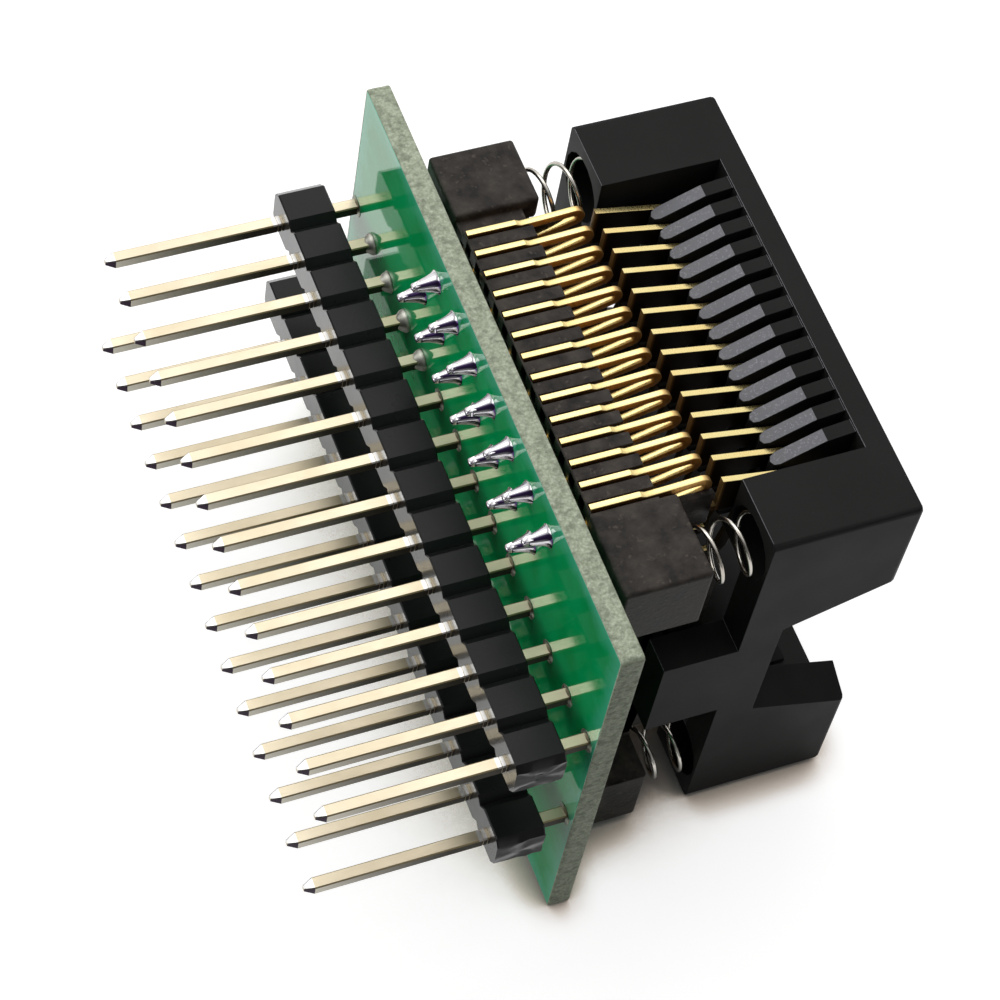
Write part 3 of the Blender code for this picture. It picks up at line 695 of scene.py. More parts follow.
# Pins: flanks partly duller and partly painted shade, which darkens toward the strip, with PinPlate's painted
# tip, corner and root marks.
PIN_METAL = PinPlate(
    "plated_pin_metal", colour=(0.74, 0.655, 0.50), tarnish_colour=(0.64, 0.555, 0.40), roughness=0.34,
    streak=(1.0, 1.0, 0.08), flank_and_shade_colour=(0.66, 0.63, 0.55), flank_share=0.95,
    painted_shade_colour=(0.035, 0.029, 0.02), painted_shade_span=(0.6 * MM, 7.5 * MM), painted_shade_matt=0.8,
)
# Gold: painted shade on flanks and undersides, dark and matt above the loops on the levers, and on the risers
# and loop turns.
GOLD = GoldPlate(
    "gold_plate", colour=(1.0, 0.85, 0.40), tarnish_colour=(1.0, 0.78, 0.33), roughness=0.28,
    flank_and_shade_colour=(0.80, 0.43, 0.13), flank_share=1.0, under_shade_share=0.95, painted_shade_colour=(0.018, 0.011, 0.005),
    painted_shade_span=(21.9 * MM, 22.6 * MM), painted_shade_matt=1.0, mark_size=0.08 * MM, mark_depth=0.0006 * MM,
)
STEEL = DrawnMetal(
    "spring_wire_steel", colour=(0.84, 0.81, 0.75), tarnish_colour=(0.66, 0.61, 0.54), roughness=0.20,
)
# The violet band colour is a painted reflection.
SOLDER = Solder(
    "solder", colour=(0.93, 0.92, 0.94), dull_colour=(0.78, 0.76, 0.80), roughness=0.06, ripple=0.012 * MM,
    painted_band_colour=(0.09, 0.055, 0.17),
)
DULL_SOLDER = Solder(
    "dull_solder", colour=(0.70, 0.69, 0.62), dull_colour=(0.54, 0.53, 0.47), roughness=0.42,
    ripple=0.03 * MM,
)
AGED_SOLDER = Solder(
    "aged_solder", colour=(0.34, 0.36, 0.29), dull_colour=(0.20, 0.22, 0.17), roughness=0.28,
    ripple=0.03 * MM,
)


# Meshes


def placed(name: str, data: Any) -> Piece:
    """Put a new object into the scene, at the origin.

    Args:
        name: The object's name.
        data: Its mesh, curve, light or camera.

    Returns:
        The object.
    """
    thing = bpy.data.objects.new(name, data)
    bpy.context.scene.collection.objects.link(thing)
    return thing


def new_piece(name: str, mesh: Mesh, finish: Finish) -> Piece:
    """Put a mesh into the scene as a piece.

    Args:
        name: The piece's name.
        mesh: Its mesh, in place.
        finish: Its finish.

    Returns:
        The new object, at the origin.
    """
    mesh.materials.clear()
    mesh.materials.append(finish.material())
    return placed(name, mesh)


def mesh_of(bm: bmesh.types.BMesh, name: str, smooth: float | None = None) -> Mesh:
    """Turn a bmesh into a mesh with outward faces.

    Args:
        bm: The bmesh, which is freed.
        name: The mesh's name.
        smooth: The largest angle in degrees that is shaded smooth, or None for flat faces.

    Returns:
        The mesh.
    """
    bmesh.ops.recalc_face_normals(bm, faces=bm.faces)
    if smooth is not None:
        limit = math.radians(smooth)
        for face in bm.faces:
            face.smooth = True
        for edge in bm.edges:
            edge.smooth = edge.is_manifold and edge.calc_face_angle() <= limit
    mesh = bpy.data.meshes.new(name)
    bm.to_mesh(mesh)
    bm.free()
    return mesh


def loft(name: str, rings: Sequence[Sequence[Vector]], smooth: float | None = None) -> Mesh:
    """Skin a closed body over rings of points.

    Args:
        name: The mesh's name.
        rings: Rings with equal counts of points, from one end to the other.
        smooth: The largest angle in degrees that is shaded smooth.

    Returns:
        The mesh, closed at both ends.
    """
    bm = bmesh.new()
    rows = [[bm.verts.new(point) for point in ring] for ring in rings]
    for low, high in zip(rows, rows[1:]):
        for index in range(len(low)):
            after = (index + 1) % len(low)
            bm.faces.new((low[index], low[after], high[after], high[index]))
    bm.faces.new(rows[0])
    bm.faces.new(rows[-1])
    return mesh_of(bm, name, smooth)


def lathe(name: str, profile: Sequence[tuple[float, float]], segments: int) -> Mesh:
    """Turn a profile round the Z axis.

    Args:
        name: The mesh's name.
        profile: Radius and height of each ring; a radius is never zero.
        segments: How many sides each ring has.

    Returns:
        The mesh, closed at both ends.
    """
    turns = [2 * math.pi * step / segments for step in range(segments)]
    rings = [[Vector((r * math.cos(t), r * math.sin(t), z)) for t in turns] for r, z in profile]
    return loft(name, rings, smooth=50.0)


def oblong_ring(half_x: float, half_y: float, corner: float, z: float) -> list[Vector]:
    """Return an oblong ring with cut corners.

    Args:
        half_x: Half its size along X.
        half_y: Half its size along Y.
        corner: How much of each corner is cut.
        z: Its height.

    Returns:
        Eight points.
    """
    in_x, in_y = half_x - corner, half_y - corner
    points = ((half_x, -in_y), (half_x, in_y), (in_x, half_y), (-in_x, half_y),
              (-half_x, in_y), (-half_x, -in_y), (-in_x, -half_y), (in_x, -half_y))
    return [Vector((x, y, z)) for x, y in points]


def joined(name: str, meshes: Sequence[Mesh], finish: Finish) -> Piece:
    """Put several meshes into one piece, and remove them.

    Args:
        name: The piece's name.
        meshes: The meshes.
        finish: Its finish.

    Returns:
        The piece.
    """
    bm = bmesh.new()
    for mesh in meshes:
        bm.from_mesh(mesh)
        bpy.data.meshes.remove(mesh)
    result = bpy.data.meshes.new(name)
    bm.to_mesh(result)
    bm.free()
    return new_piece(name, result, finish)


def arc(centre: tuple[float, float], radius: float, start: float, end: float, steps: int) -> Outline:
    """Return points on an arc, its two ends included; angles are in radians."""
    angles = [start + (end - start) * step / steps for step in range(steps + 1)]
    return [(centre[0] + radius * math.cos(a), centre[1] + radius * math.sin(a)) for a in angles]


def evaluated_mesh(holder: Piece) -> Mesh:
    """Return a plain copy of an object's evaluated mesh."""
    source = holder.evaluated_get(bpy.context.evaluated_depsgraph_get())
    return bpy.data.meshes.new_from_object(source)


def stamped(name: str, outline: Outline, thickness: float, rounding: float) -> Mesh:
    """Punch a flat outline from sheet, with its edges rounded, and stand it upright.

    Args:
        name: The mesh's name.
        outline: Its outline.
        thickness: The sheet's thickness.
        rounding: How much its edges are rounded.

    Returns:
        The mesh.
    """
    curve = bpy.data.curves.new(name, "CURVE")
    curve.dimensions = "2D"
    curve.fill_mode = "BOTH"
    curve.extrude = thickness / 2 - rounding
    curve.bevel_depth = rounding
    curve.bevel_resolution = 1
    curve.offset = -rounding
    spline = curve.splines.new("POLY")
    spline.points.add(len(outline) - 1)
    for point, (across, up) in zip(spline.points, outline):
        point.co = (across, up, 0.0, 1.0)
    spline.use_cyclic_u = True
    holder = placed(name, curve)
    flat = evaluated_mesh(holder)
    bpy.data.objects.remove(holder, do_unlink=True)
    bpy.data.curves.remove(curve)
    bm = bmesh.new()
    bm.from_mesh(flat)
    bpy.data.meshes.remove(flat)
    bmesh.ops.remove_doubles(bm, verts=bm.verts, dist=1e-7)
    bmesh.ops.transform(bm, matrix=END_VIEW, verts=bm.verts)
    return mesh_of(bm, name, 50.0)


def block(name: str, low: Vector, high: Vector, rounding: float) -> Mesh:
    """Build an upright bar between two corners, with its edges rounded.

    Args:
        name: The mesh's name.
        low: Its lowest corner.
        high: Its highest corner.
        rounding: How much its edges are rounded.

    Returns:
        The mesh.
    """
    middle = (low + high) / 2
    half = (high - low) / 2
    rings = []
    levels = ((low.z, rounding), (low.z + rounding, 0.0), (high.z - rounding, 0.0), (high.z, rounding))
    for z, inset in levels:
        ring = oblong_ring(half.x - inset, half.y - inset, rounding, z)
        rings.append([point + Vector((middle.x, middle.y, 0.0)) for point in ring])
    return loft(name, rings, 50.0)


def paired_bars(name: str, x: float, half: float, reach: tuple[float, float],
                heights: tuple[float, float], rounding: float) -> list[Mesh]:
    """Build an upright bar on each side of the pin rows.

    Args:
        name: The meshes' name.
        x: The middle of both bars along the rows.
        half: Half their length along the rows.
        reach: How far out each starts and ends.
        heights: How high each starts and ends.
        rounding: How much their edges are rounded.

    Returns:
        Both bars, the near one first.
    """
    bars = []
    for sign in (-1, 1):
        near_y, far_y = sorted(sign * place for place in reach)
        bars.append(block(name, Vector((x - half, near_y, heights[0])),
                          Vector((x + half, far_y, heights[1])), rounding))
    return bars


def weigh_normals(piece: Piece) -> Piece:
    """Shade a piece's roundings smooth and its flats flat, and keep the result in its mesh.

    Args:
        piece: The piece.

    Returns:
        The same piece, with no modifier left.
    """
    piece.modifiers.new("shading", "WEIGHTED_NORMAL").keep_sharp = True
    mesh = evaluated_mesh(piece)
    piece.modifiers.clear()
    piece.data = mesh
    return piece


def carried(pieces: Sequence[Piece], body: Body) -> list[Piece]:
    """Attach pieces to the body that they ride on, and return them."""
    for piece in pieces:
        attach(piece, body.value)
    return list(pieces)


# Repeats


@functools.cache
def rows_tree() -> Nodes:
    """Build the tree that sets a piece out in a row, and turns a copy half round.

    Returns:
        The tree's nodes.
    """
    nodes = new_group(
        "rows", "GeometryNodeTree",
        [("Piece", GEOMETRY), ("Count", INTEGER), ("Start", VECTOR), ("Step", VECTOR),
         ("Both Sides", SWITCH), ("Centre", VECTOR), ("Size Spread", FLOAT),
         ("Turn Spread", FLOAT), ("Seed", INTEGER), ("Finish", MATERIAL)],
        [("Geometry", GEOMETRY)],
    )
    given = nodes.add("NodeGroupInput").outputs
    line = nodes.add("GeometryNodeMeshLine", {
        "Count": given["Count"], "Start Location": given["Start"], "Offset": given["Step"],
    }, mode="OFFSET").outputs[0]
    size = nodes.add("FunctionNodeRandomValue", {"Seed": given["Seed"]}, data_type="FLOAT_VECTOR")
    spread = given["Size Spread"]
    for number, limit in enumerate((nodes.minus(1.0, spread), nodes.plus(1.0, spread))):
        nodes.feed(size.inputs[number], nodes.vector(limit, limit, limit))
    turn = nodes.add("FunctionNodeRandomValue", {"Seed": nodes.plus(given["Seed"], 7.0)}, data_type="FLOAT")
    nodes.feed(turn.inputs[2], nodes.times(given["Turn Spread"], -1.0))
    nodes.feed(turn.inputs[3], given["Turn Spread"])
    spin = nodes.vector(0.0, 0.0, turn.outputs[1])
    copies = nodes.add("GeometryNodeInstanceOnPoints", {
        "Points": line, "Instance": given["Piece"], "Rotation": spin, "Scale": size.outputs[0],
    }).outputs[0]
    one = nodes.add("GeometryNodeRealizeInstances", {"Geometry": copies}).outputs[0]
    turned = nodes.add("GeometryNodeTransform", {
        "Geometry": one, "Translation": nodes.stretch(given["Centre"], (2.0, 2.0, 0.0)),
        "Rotation": (0.0, 0.0, math.pi),
    }).outputs[0]
    both = nodes.add("GeometryNodeJoinGeometry")
    nodes.feed(both.inputs[0], one)
    nodes.feed(both.inputs[0], turned)
    picked = nodes.add("GeometryNodeSwitch", {
        "Switch": given["Both Sides"], "False": one, "True": both.outputs[0],
    }, input_type="GEOMETRY").outputs[0]
    return nodes.dressed(picked, given["Finish"])


@functools.cache
def coil_tree() -> Nodes:
    """Build the tree that winds a spring with closed end turns.

    Returns:
        The tree's nodes.
    """
    nodes = new_group(
        "coil", "GeometryNodeTree",
        [("Geometry", GEOMETRY), ("Turns", FLOAT), ("Steps", INTEGER), ("Sides", INTEGER),
         ("Radius", FLOAT), ("Wire", FLOAT), ("Low", FLOAT), ("High", FLOAT), ("End Rise", FLOAT),
         ("Centre", VECTOR), ("Finish", MATERIAL)],
        [("Geometry", GEOMETRY)],
    )
    given = nodes.add("NodeGroupInput").outputs
    rise = given["End Rise"]
    line = nodes.add("GeometryNodeMeshLine", {"Count": given["Steps"]}, mode="OFFSET").outputs[0]
    index = nodes.add("GeometryNodeInputIndex").outputs[0]
    share = nodes.share(index, nodes.minus(given["Steps"], 1.0))
    angle = nodes.times(share, given["Turns"], 2 * math.pi)
    closed = nodes.share(1.0, given["Turns"])
    opened = nodes.minus(1.0, closed)
    free = nodes.minus(nodes.minus(given["High"], given["Low"]), nodes.times(rise, 2.0))
    first = nodes.remap(share, 0.0, closed, 0.0, rise)
    middle = nodes.remap(share, closed, opened, 0.0, free)
    final = nodes.remap(share, opened, 1.0, 0.0, rise)
    height = nodes.plus(nodes.plus(given["Low"], first), nodes.plus(middle, final))
    across = nodes.times(given["Radius"], nodes.maths("COSINE", angle))
    along = nodes.times(given["Radius"], nodes.maths("SINE", angle))
    bent = nodes.add("GeometryNodeSetPosition", {
        "Geometry": line, "Position": nodes.vector(across, along, height), "Offset": given["Centre"],
    }).outputs[0]
    path = nodes.add("GeometryNodeMeshToCurve", {0: bent}).outputs[0]
    section = nodes.add("GeometryNodeCurvePrimitiveCircle", {
        "Resolution": given["Sides"], "Radius": given["Wire"],
    }).outputs[0]
    wire = nodes.add("GeometryNodeCurveToMesh", {
        "Curve": path, "Profile Curve": section, "Fill Caps": True,
    }).outputs[0]
    smooth = nodes.add("GeometryNodeSetShadeSmooth", {"Geometry": wire}).outputs[0]
    return nodes.dressed(smooth, given["Finish"])


def run_tree(name: str, data: Mesh | None, nodes: Nodes, values: Mapping[str, Any]) -> Piece:
    """Run a tree on a mesh and keep its result as a plain mesh.

    Args:
        name: The new piece's name.
        data: The mesh that the tree starts from, or None for an empty mesh.
        nodes: The tree.
        values: The tree's inputs, by name; a finish stands for its material.

    Returns:
        The piece, with no modifier left.
    """
    holder = placed(name + "_source", data or bpy.data.meshes.new(name))
    modifier = holder.modifiers.new(nodes.tree.name, "NODES")
    modifier.node_group = nodes.tree
    for item in nodes.tree.interface.items_tree:
        if item.in_out == "INPUT" and item.name in values:
            value = values[item.name]
            modifier[item.identifier] = value.material() if isinstance(value, Finish) else value
    mesh = evaluated_mesh(holder)
    bpy.data.objects.remove(holder, do_unlink=True)
    mesh.name = name
    return placed(name, mesh)


def set_out(name: str, single: Mesh, count: int, start: tuple[float, float, float], pitch: float,
            finish: Finish, more: Mapping[str, Any] | None = None) -> Piece:
    """Set copies of a part out in a row along X.

    Args:
        name: The new piece's name.
        single: One part.
        count: How many copies.
        start: The place of the first one.
        pitch: The step from each to the next.
        finish: Their finish.
        more: Other inputs of the tree, by name.

    Returns:
        The row.
    """
    return run_tree(name, single, rows_tree(), {
        "Count": count, "Start": start, "Step": (pitch, 0.0, 0.0), "Finish": finish, **(more or {}),
    })


# Sub-assemblies

# Radius and drop below the board, in millimetres.
PAD_PROFILE = (
    (0.30, -0.01), (0.60, -0.01), (0.60, 0.02), (0.575, 0.035), (0.42, 0.045), (0.36, 0.08), (0.30, 0.10),
)
JOINT_PROFILE = (
    (0.30, -0.01), (0.58, -0.01), (0.59, 0.05), (0.58, 0.11), (0.55, 0.18),
    (0.49, 0.27), (0.43, 0.35), (0.38, 0.42), (0.34, 0.48), (0.30, 0.51),
)
# Shares of a cone's radius and height.
CONE_PROFILE = (
    (1.0, -0.015), (1.04, 0.01), (0.97, 0.05), (0.88, 0.12), (0.78, 0.24), (0.68, 0.40),
    (0.59, 0.58), (0.51, 0.76), (0.45, 0.90), (0.41, 0.97), (0.34, 1.0),
)
# Share of the board's thickness, and how far its sides draw in there, in millimetres.
CUT_LEVELS = (
    (0.0, 0.05), (0.04, 0.01), (0.2, 0.0), (0.36, 0.0), (0.52, 0.0),
    (0.68, 0.0), (0.84, 0.0), (0.96, 0.01), (1.0, 0.05),
)
# A spread of turns, in radians, that leaves each copy turned its own way.
ANY_TURN = 3.0


@dataclass
class AdapterBoard:
    """Glass-laminate board with lacquer on both faces and bare, rough-cut edges."""

    length: float = 34.66 * MM
    width: float = 25.32 * MM
    middle: float = 0.14 * MM
    corner: float = 0.25 * MM
    lacquer: float = 0.02 * MM
    bare_rim: float = 0.13 * MM
    cut_depth: float = 0.025 * MM
    cut_step: float = 0.22 * MM
    cut_patch: float = 0.32 * MM

    def outline(self, inset: float) -> list[Vector]:
        """Walk round the board's plan with even steps.

        Args:
            inset: How far inside the edge to walk.

        Returns:
            Points at height zero, anticlockwise.
        """
        half_x, half_y = self.length / 2 - inset, self.width / 2 - inset
        radius = max(self.corner - inset, 0.05 * MM)
        corners = ((1, 1, 0.0), (-1, 1, 90.0), (-1, -1, 180.0), (1, -1, 270.0))
        points: list[Vector] = []
        for sign_x, sign_y, start in corners:
            centre = (self.middle + sign_x * (half_x - radius), sign_y * (half_y - radius))
            turned = arc(centre, radius, math.radians(start), math.radians(start + 90), 4)
            if points:
                points += self.stretch(points[-1], Vector((*turned[0], 0.0)))
            points += [Vector((x, y, 0.0)) for x, y in turned]
        return points + self.stretch(points[-1], points[0])

    def stretch(self, start: Vector, end: Vector) -> list[Vector]:
        """Return even steps between two points, both left out."""
        count = max(int((end - start).length / self.cut_step), 1)
        return [start.lerp(end, step / count) for step in range(1, count)]

    def laminate(self) -> Piece:
        """Build the core, whose sides are a little uneven from the cutter.

        Returns:
            The piece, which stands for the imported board.
        """
        low, high = LAYOUT.board_low + self.lacquer / 2, LAYOUT.board_high - self.lacquer / 2
        rings = []
        for share, ease in CUT_LEVELS:
            ring = []
            for flat in self.outline(ease * MM):
                point = flat + Vector((0.0, 0.0, low + (high - low) * share))
                inward = (Vector((self.middle, 0.0, point.z)) - point).normalized()
                rough = noise.noise(point / self.cut_patch) * 0.5 + 0.5
                ring.append(point + inward * self.cut_depth * rough * (1.0 if 0.0 < share < 1.0 else 0.5))
            rings.append(ring)
        piece = new_piece("board_laminate", loft("board_laminate", rings, 40.0), LAMINATE)
        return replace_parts(piece, "pcb")

    def lacquer_sheet(self, name: str, low: float, high: float, outer: float) -> Piece:
        """Build the lacquer of one face.

        Args:
            name: The piece's name.
            low: Its lowest height.
            high: Its highest height.
            outer: The height of its outer face, whose rim is rounded.

        Returns:
            The piece.
        """
        rounding = self.lacquer * 0.8
        steps = ((low, rounding if outer == low else 0.0), (high, rounding if outer == high else 0.0))
        rings = []
        for z, ease in sorted(steps + (((low + high) / 2, 0.0),)):
            rings.append([point + Vector((0.0, 0.0, z)) for point in self.outline(self.bare_rim + ease)])
        return new_piece(name, loft(name, rings), MASK)

    def build(self) -> list[Piece]:
        """Build the board's pieces, which ride on the adapter."""
        low, high = LAYOUT.board_low, LAYOUT.board_high
        return carried([
            self.laminate(),
            self.lacquer_sheet("board_lacquer_pin_side", low, low + self.lacquer, low),
            self.lacquer_sheet("board_lacquer_socket_side", high - self.lacquer, high, high),
        ], Body.ADAPTER)


@dataclass
class PinHeader:
    """One header: a notched strip of cells, snapped off at one end, and its square pins."""

    side: str
    row_y: float
    half_length: float = 17.78 * MM
    half_width: float = 1.27 * MM
    notch: float = 0.42 * MM
    chamfer: float = 0.07 * MM
    pin_half: float = 0.32 * MM
    tip_half: float = 0.13 * MM
    tip_length: float = 0.50 * MM
    tip_edge: float = 0.02 * MM
    pin_corner: float = 0.06 * MM
    ring_places: tuple[float, ...] = (9.20 * MM, 9.42 * MM)
    ring_depth: float = 0.022 * MM
    ring_width: float = 0.05 * MM
    seed: int = 3
    root_sides: int = 28
    full_joints: tuple[tuple[int, int], ...] = ((1, 4),)
    tear_size: float = 0.45 * MM
    tear_depth: float = 0.17 * MM

    def cell_ring(self, x: float, half_width: float) -> list[Vector]:
        """Return the strip's cross-section at a place along it, with many points.

        Args:
            x: The place along the strip.
            half_width: Half its width there.

        Returns:
            The ring's points.
        """
        low, high = LAYOUT.strip_low, LAYOUT.strip_high
        cut = self.chamfer
        corners = [(half_width, low + cut), (half_width, high - cut), (half_width - cut, high),
                   (cut - half_width, high), (-half_width, high - cut), (-half_width, low + cut),
                   (cut - half_width, low), (half_width - cut, low)]
        steps = (6, 1, 6, 1, 6, 1, 6, 1)
        ring = []
        for index, count in enumerate(steps):
            start, end = Vector(corners[index]), Vector(corners[(index + 1) % len(corners)])
            for step in range(count):
                y, z = start.lerp(end, step / count)
                ring.append(Vector((x, y + self.row_y, z)))
        return ring

    def strip(self) -> Piece:
        """Build the strip as a skin over its cross-sections, with a torn far end.

        Returns:
            The strip.
        """
        rings = []
        for cell in range(LAYOUT.pins_per_row + 1):
            x = cell * LAYOUT.pin_pitch - self.half_length
            for offset, share in ((-self.notch, 0.0), (0.0, 1.0), (self.notch, 0.0)):
                if abs(x + offset) <= self.half_length + 1e-9:
                    rings.append(self.cell_ring(x + offset, self.half_width - self.notch * share * 0.97))
        rings[-1] = [self.torn(point) for point in rings[-1]]
        centre = Vector((self.half_length, self.row_y, (LAYOUT.strip_low + LAYOUT.strip_high) / 2))
        for share in (0.75, 0.5, 0.25):
            flat = self.cell_ring(self.half_length, self.half_width - self.notch * 0.97)
            rings.append([self.torn(centre.lerp(point, share)) for point in flat])
        mesh = loft("header_strip", rings, 30.0)
        return weigh_normals(new_piece(f"header_strip_{self.side}", mesh, HEADER_PLASTIC))

    def torn(self, point: Vector) -> Vector:
        """Push a point of the torn end inwards by an uneven amount."""
        rough = noise.noise(point / self.tear_size + Vector((self.seed, 0.0, 0.0))) * 0.5 + 0.5
        return point - Vector((self.tear_depth * rough, 0.0, 0.0))

    def pin_profile(self) -> list[tuple[float, float]]:
        """Work out a pin's rings, from its tip up.

        Returns:
            Half width and height of each ring.
        """
        profile = [(self.tip_half - self.tip_edge, 0.0), (self.tip_half, self.tip_edge),
                   (self.pin_half, self.tip_length)]
        for place in self.ring_places:
            deep, reach = self.pin_half - self.ring_depth, self.ring_width / 2
            profile += [(self.pin_half, place - reach), (deep, place - reach / 2),
                        (deep, place + reach / 2), (self.pin_half, place + reach)]
        top = LAYOUT.board_high + 0.10 * MM
        return profile + [(self.pin_half, top - 0.05 * MM), (self.pin_half - 0.05 * MM, top)]

    def pins(self) -> Piece:
        """Build a pin and set it out in a row.

        Returns:
            The row of pins.
        """
        rings = [oblong_ring(half, half, min(self.pin_corner, half / 3), z) for half, z in self.pin_profile()]
        single = loft("pin", rings, 30.0)
        start = (LAYOUT.first_pin, self.row_y, 0.0)
        return set_out(f"header_pins_{self.side}", single, LAYOUT.pins_per_row, start,
                       LAYOUT.pin_pitch, PIN_METAL)

    def root_row(self, name: str, profile: Sequence[tuple[float, float]], first: int, count: int,
                 spread: float, finish: Finish) -> Piece:
        """Set out a turned shape round the roots of some pins.

        Args:
            name: The piece's name.
            profile: Radius and drop below the board of each ring, in millimetres.
            first: The first pin, from 0.
            count: How many pins.
            spread: How much their sizes differ.
            finish: Their finish.

        Returns:
            The row.
        """
        ring = lathe(name, [(radius * MM, -drop * MM) for radius, drop in profile], self.root_sides)
        start = (LAYOUT.first_pin + first * LAYOUT.pin_pitch, self.row_y, LAYOUT.board_low)
        return set_out(name, ring, count, start, LAYOUT.pin_pitch, finish, {
            "Size Spread": spread, "Turn Spread": ANY_TURN, "Seed": self.seed,
        })

    def roots(self) -> list[Piece]:
        """Build the pads where the pins enter the board, and the fuller joints of a few."""
        pads = self.root_row(f"pin_pads_{self.side}", PAD_PROFILE, 0, LAYOUT.pins_per_row, 0.03, AGED_SOLDER)
        return [pads] + [
            self.root_row(f"pin_joints_{self.side}_{first}", JOINT_PROFILE, first, count, 0.12, DULL_SOLDER)
            for first, count in self.full_joints
        ]

    def build(self) -> list[Piece]:
        """Build the header's pieces.

        Returns:
            The pieces, riding on the adapter.
        """
        node = f"pin_header_{self.side}"
        pieces = [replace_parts(self.strip(), node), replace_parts(self.pins(), node), *self.roots()]
        return carried(pieces, Body.ADAPTER)


@dataclass
class ContactRows:
    """Both rows of stamped contacts, with the solder on their tails."""

    thickness: float = 0.33 * MM
    rounding: float = 0.03 * MM
    strand: float = 0.42 * MM
    stem_outer: float = 12.20 * MM
    stem_low: float = 0.20 * MM
    stem_top: float = 2.72 * MM
    stem_width: float = 0.84 * MM
    foot_top: float = 1.10 * MM
    loop: tuple[float, float] = (11.60 * MM, 5.90 * MM)
    loop_radius: float = 0.395 * MM
    loop_lean: float = math.radians(17.1)
    bend: tuple[float, float] = (10.12 * MM, 3.98 * MM)
    bend_radius: float = 0.45 * MM
    riser_lean: float = math.radians(6.9)
    lever_root: tuple[float, float] = (11.58 * MM, 7.10 * MM)
    lever_top: tuple[float, float] = (9.71 * MM, 13.40 * MM)
    lever_width: float = 0.76 * MM
    arm_root: tuple[float, float] = (9.85 * MM, 9.30 * MM)
    arm_thickness: float = 0.62 * MM
    arm_drop: float = 0.85 * MM
    tip_inner: float = 4.72 * MM
    tip_width: float = 0.40 * MM
    tip_low: float = 6.30 * MM
    tail_width: float = 0.46 * MM
    tail_point: tuple[float, float] = (0.18 * MM, 0.35 * MM)
    tail_below: float = 1.30 * MM
    cone_radius: float = 0.60 * MM
    cone_height: float = 1.06 * MM
    cone_sides: int = 24
    lump_size: float = 0.6 * MM
    lump_share: float = 0.06
    cone_seed: int = 11
    tinning: float = 0.02 * MM
    pressed: float = 0.69
    press_axis: tuple[float, float] = (0.438, 0.899)

    def strand_edges(self) -> tuple[Outline, Outline]:
        """Work out both edges of the looped strand.

        Returns:
            The outer and the inner edge, from the stem's side to the lever's.
        """
        half = self.strand / 2
        loop_end = math.pi - self.loop_lean
        bend_end = self.riser_lean - math.pi
        outer = arc(self.loop, self.loop_radius + half, 0.0, loop_end, 18)
        outer += arc(self.bend, self.bend_radius - half, -self.loop_lean, bend_end, 10)
        inner = arc(self.loop, self.loop_radius - half, 0.0, loop_end, 12)
        inner += arc(self.bend, self.bend_radius + half, -self.loop_lean, bend_end, 14)
        return outer, inner

    def spring_outline(self) -> Outline:
        """Draw what bends: the looped strand, the lever and the arm.

        Returns:
            The outline.
        """
        half = self.strand / 2
        outer, inner = self.strand_edges()
        lean = math.tan(self.riser_lean)
        root_x, root_z = self.lever_root
        front, back = outer[-1], inner[-1]
        arm_low = self.arm_root[1] - self.arm_thickness - half
        arm_end = self.arm_root[1] - self.arm_drop
        arm_tip = self.tip_inner + self.arm_thickness
        points = [(self.stem_outer, self.stem_top), (self.stem_outer - 0.16 * MM, self.stem_top + 0.34 * MM),
                  (self.stem_outer - half / 2, (self.stem_top + self.loop[1]) / 2)]
        points += outer + [(front[0] - lean * (root_z - front[1]), root_z), (root_x, root_z)]
        points += arc(self.lever_top, self.lever_width / 2, 0.0, math.pi, 12)
        points += [self.arm_root, (self.arm_root[0] - self.arm_thickness, self.arm_root[1] - half)]
        points += [(arm_tip, arm_end), (self.tip_inner, arm_end - self.arm_thickness / 2)]
        points += [(self.tip_inner, self.tip_low), (self.tip_inner + self.tip_width, self.tip_low)]
        points += [(arm_tip, arm_end - self.arm_thickness), (back[0] - lean * (arm_low - back[1]), arm_low)]
        points += inner[::-1]
        return points + [(inner[0][0] - half, self.stem_top + self.strand),
                         (self.stem_outer - self.stem_width, self.stem_top)]

    def stem_outline(self, tail: float) -> Outline:
        """Return the outline of what stays put: stem, foot and tail.

        Args:
            tail: How far out the tail is.

        Returns:
            The outline.
        """
        half, point = self.tail_width / 2, self.tail_point[0] / 2
        low = LAYOUT.board_low - self.tail_below - LAYOUT.base_low
        shoulder = low + self.tail_point[1]
        over = self.stem_top + self.rounding * 2
        inner = self.stem_outer - self.stem_width
        return [(self.stem_outer, self.stem_low), (self.stem_outer, over), (inner, over),
                (inner, self.foot_top), (tail - half, self.foot_top),
                (tail - half, shoulder), (tail - point, low), (tail + point, low), (tail + half, shoulder),
                (tail + half, self.stem_low)]

    def every_second(self, name: str, single: Mesh, place: tuple[float, float], first: int,
                     finish: Finish, spread: Mapping[str, Any] | None = None) -> Piece:
        """Set a part out at every second contact of both rows.

        Args:
            name: The piece's name.
            single: One part.
            place: How far out and how high the parts stand.
            first: The number of the first one, 0 or 1.
            finish: Their finish.
            spread: How much they differ, by the tree's input names.

        Returns:
            Both rows.
        """
        x = LAYOUT.socket_x - LAYOUT.first_contact - first * LAYOUT.contact_pitch
        return set_out(name, single, LAYOUT.contacts_per_side // 2, (x, *place), -2 * LAYOUT.contact_pitch,
                       finish, {"Both Sides": True, "Centre": (LAYOUT.socket_x, 0.0, 0.0), **(spread or {})})

    def stems(self, name: str, tail: float, first: int) -> Piece:
        """Build every second stem of both rows, with its tail so far out, from the first one on."""
        single = stamped(name, self.stem_outline(tail), self.thickness, self.rounding)
        return weigh_normals(self.every_second(name, single, (0.0, LAYOUT.base_low), first, GOLD))

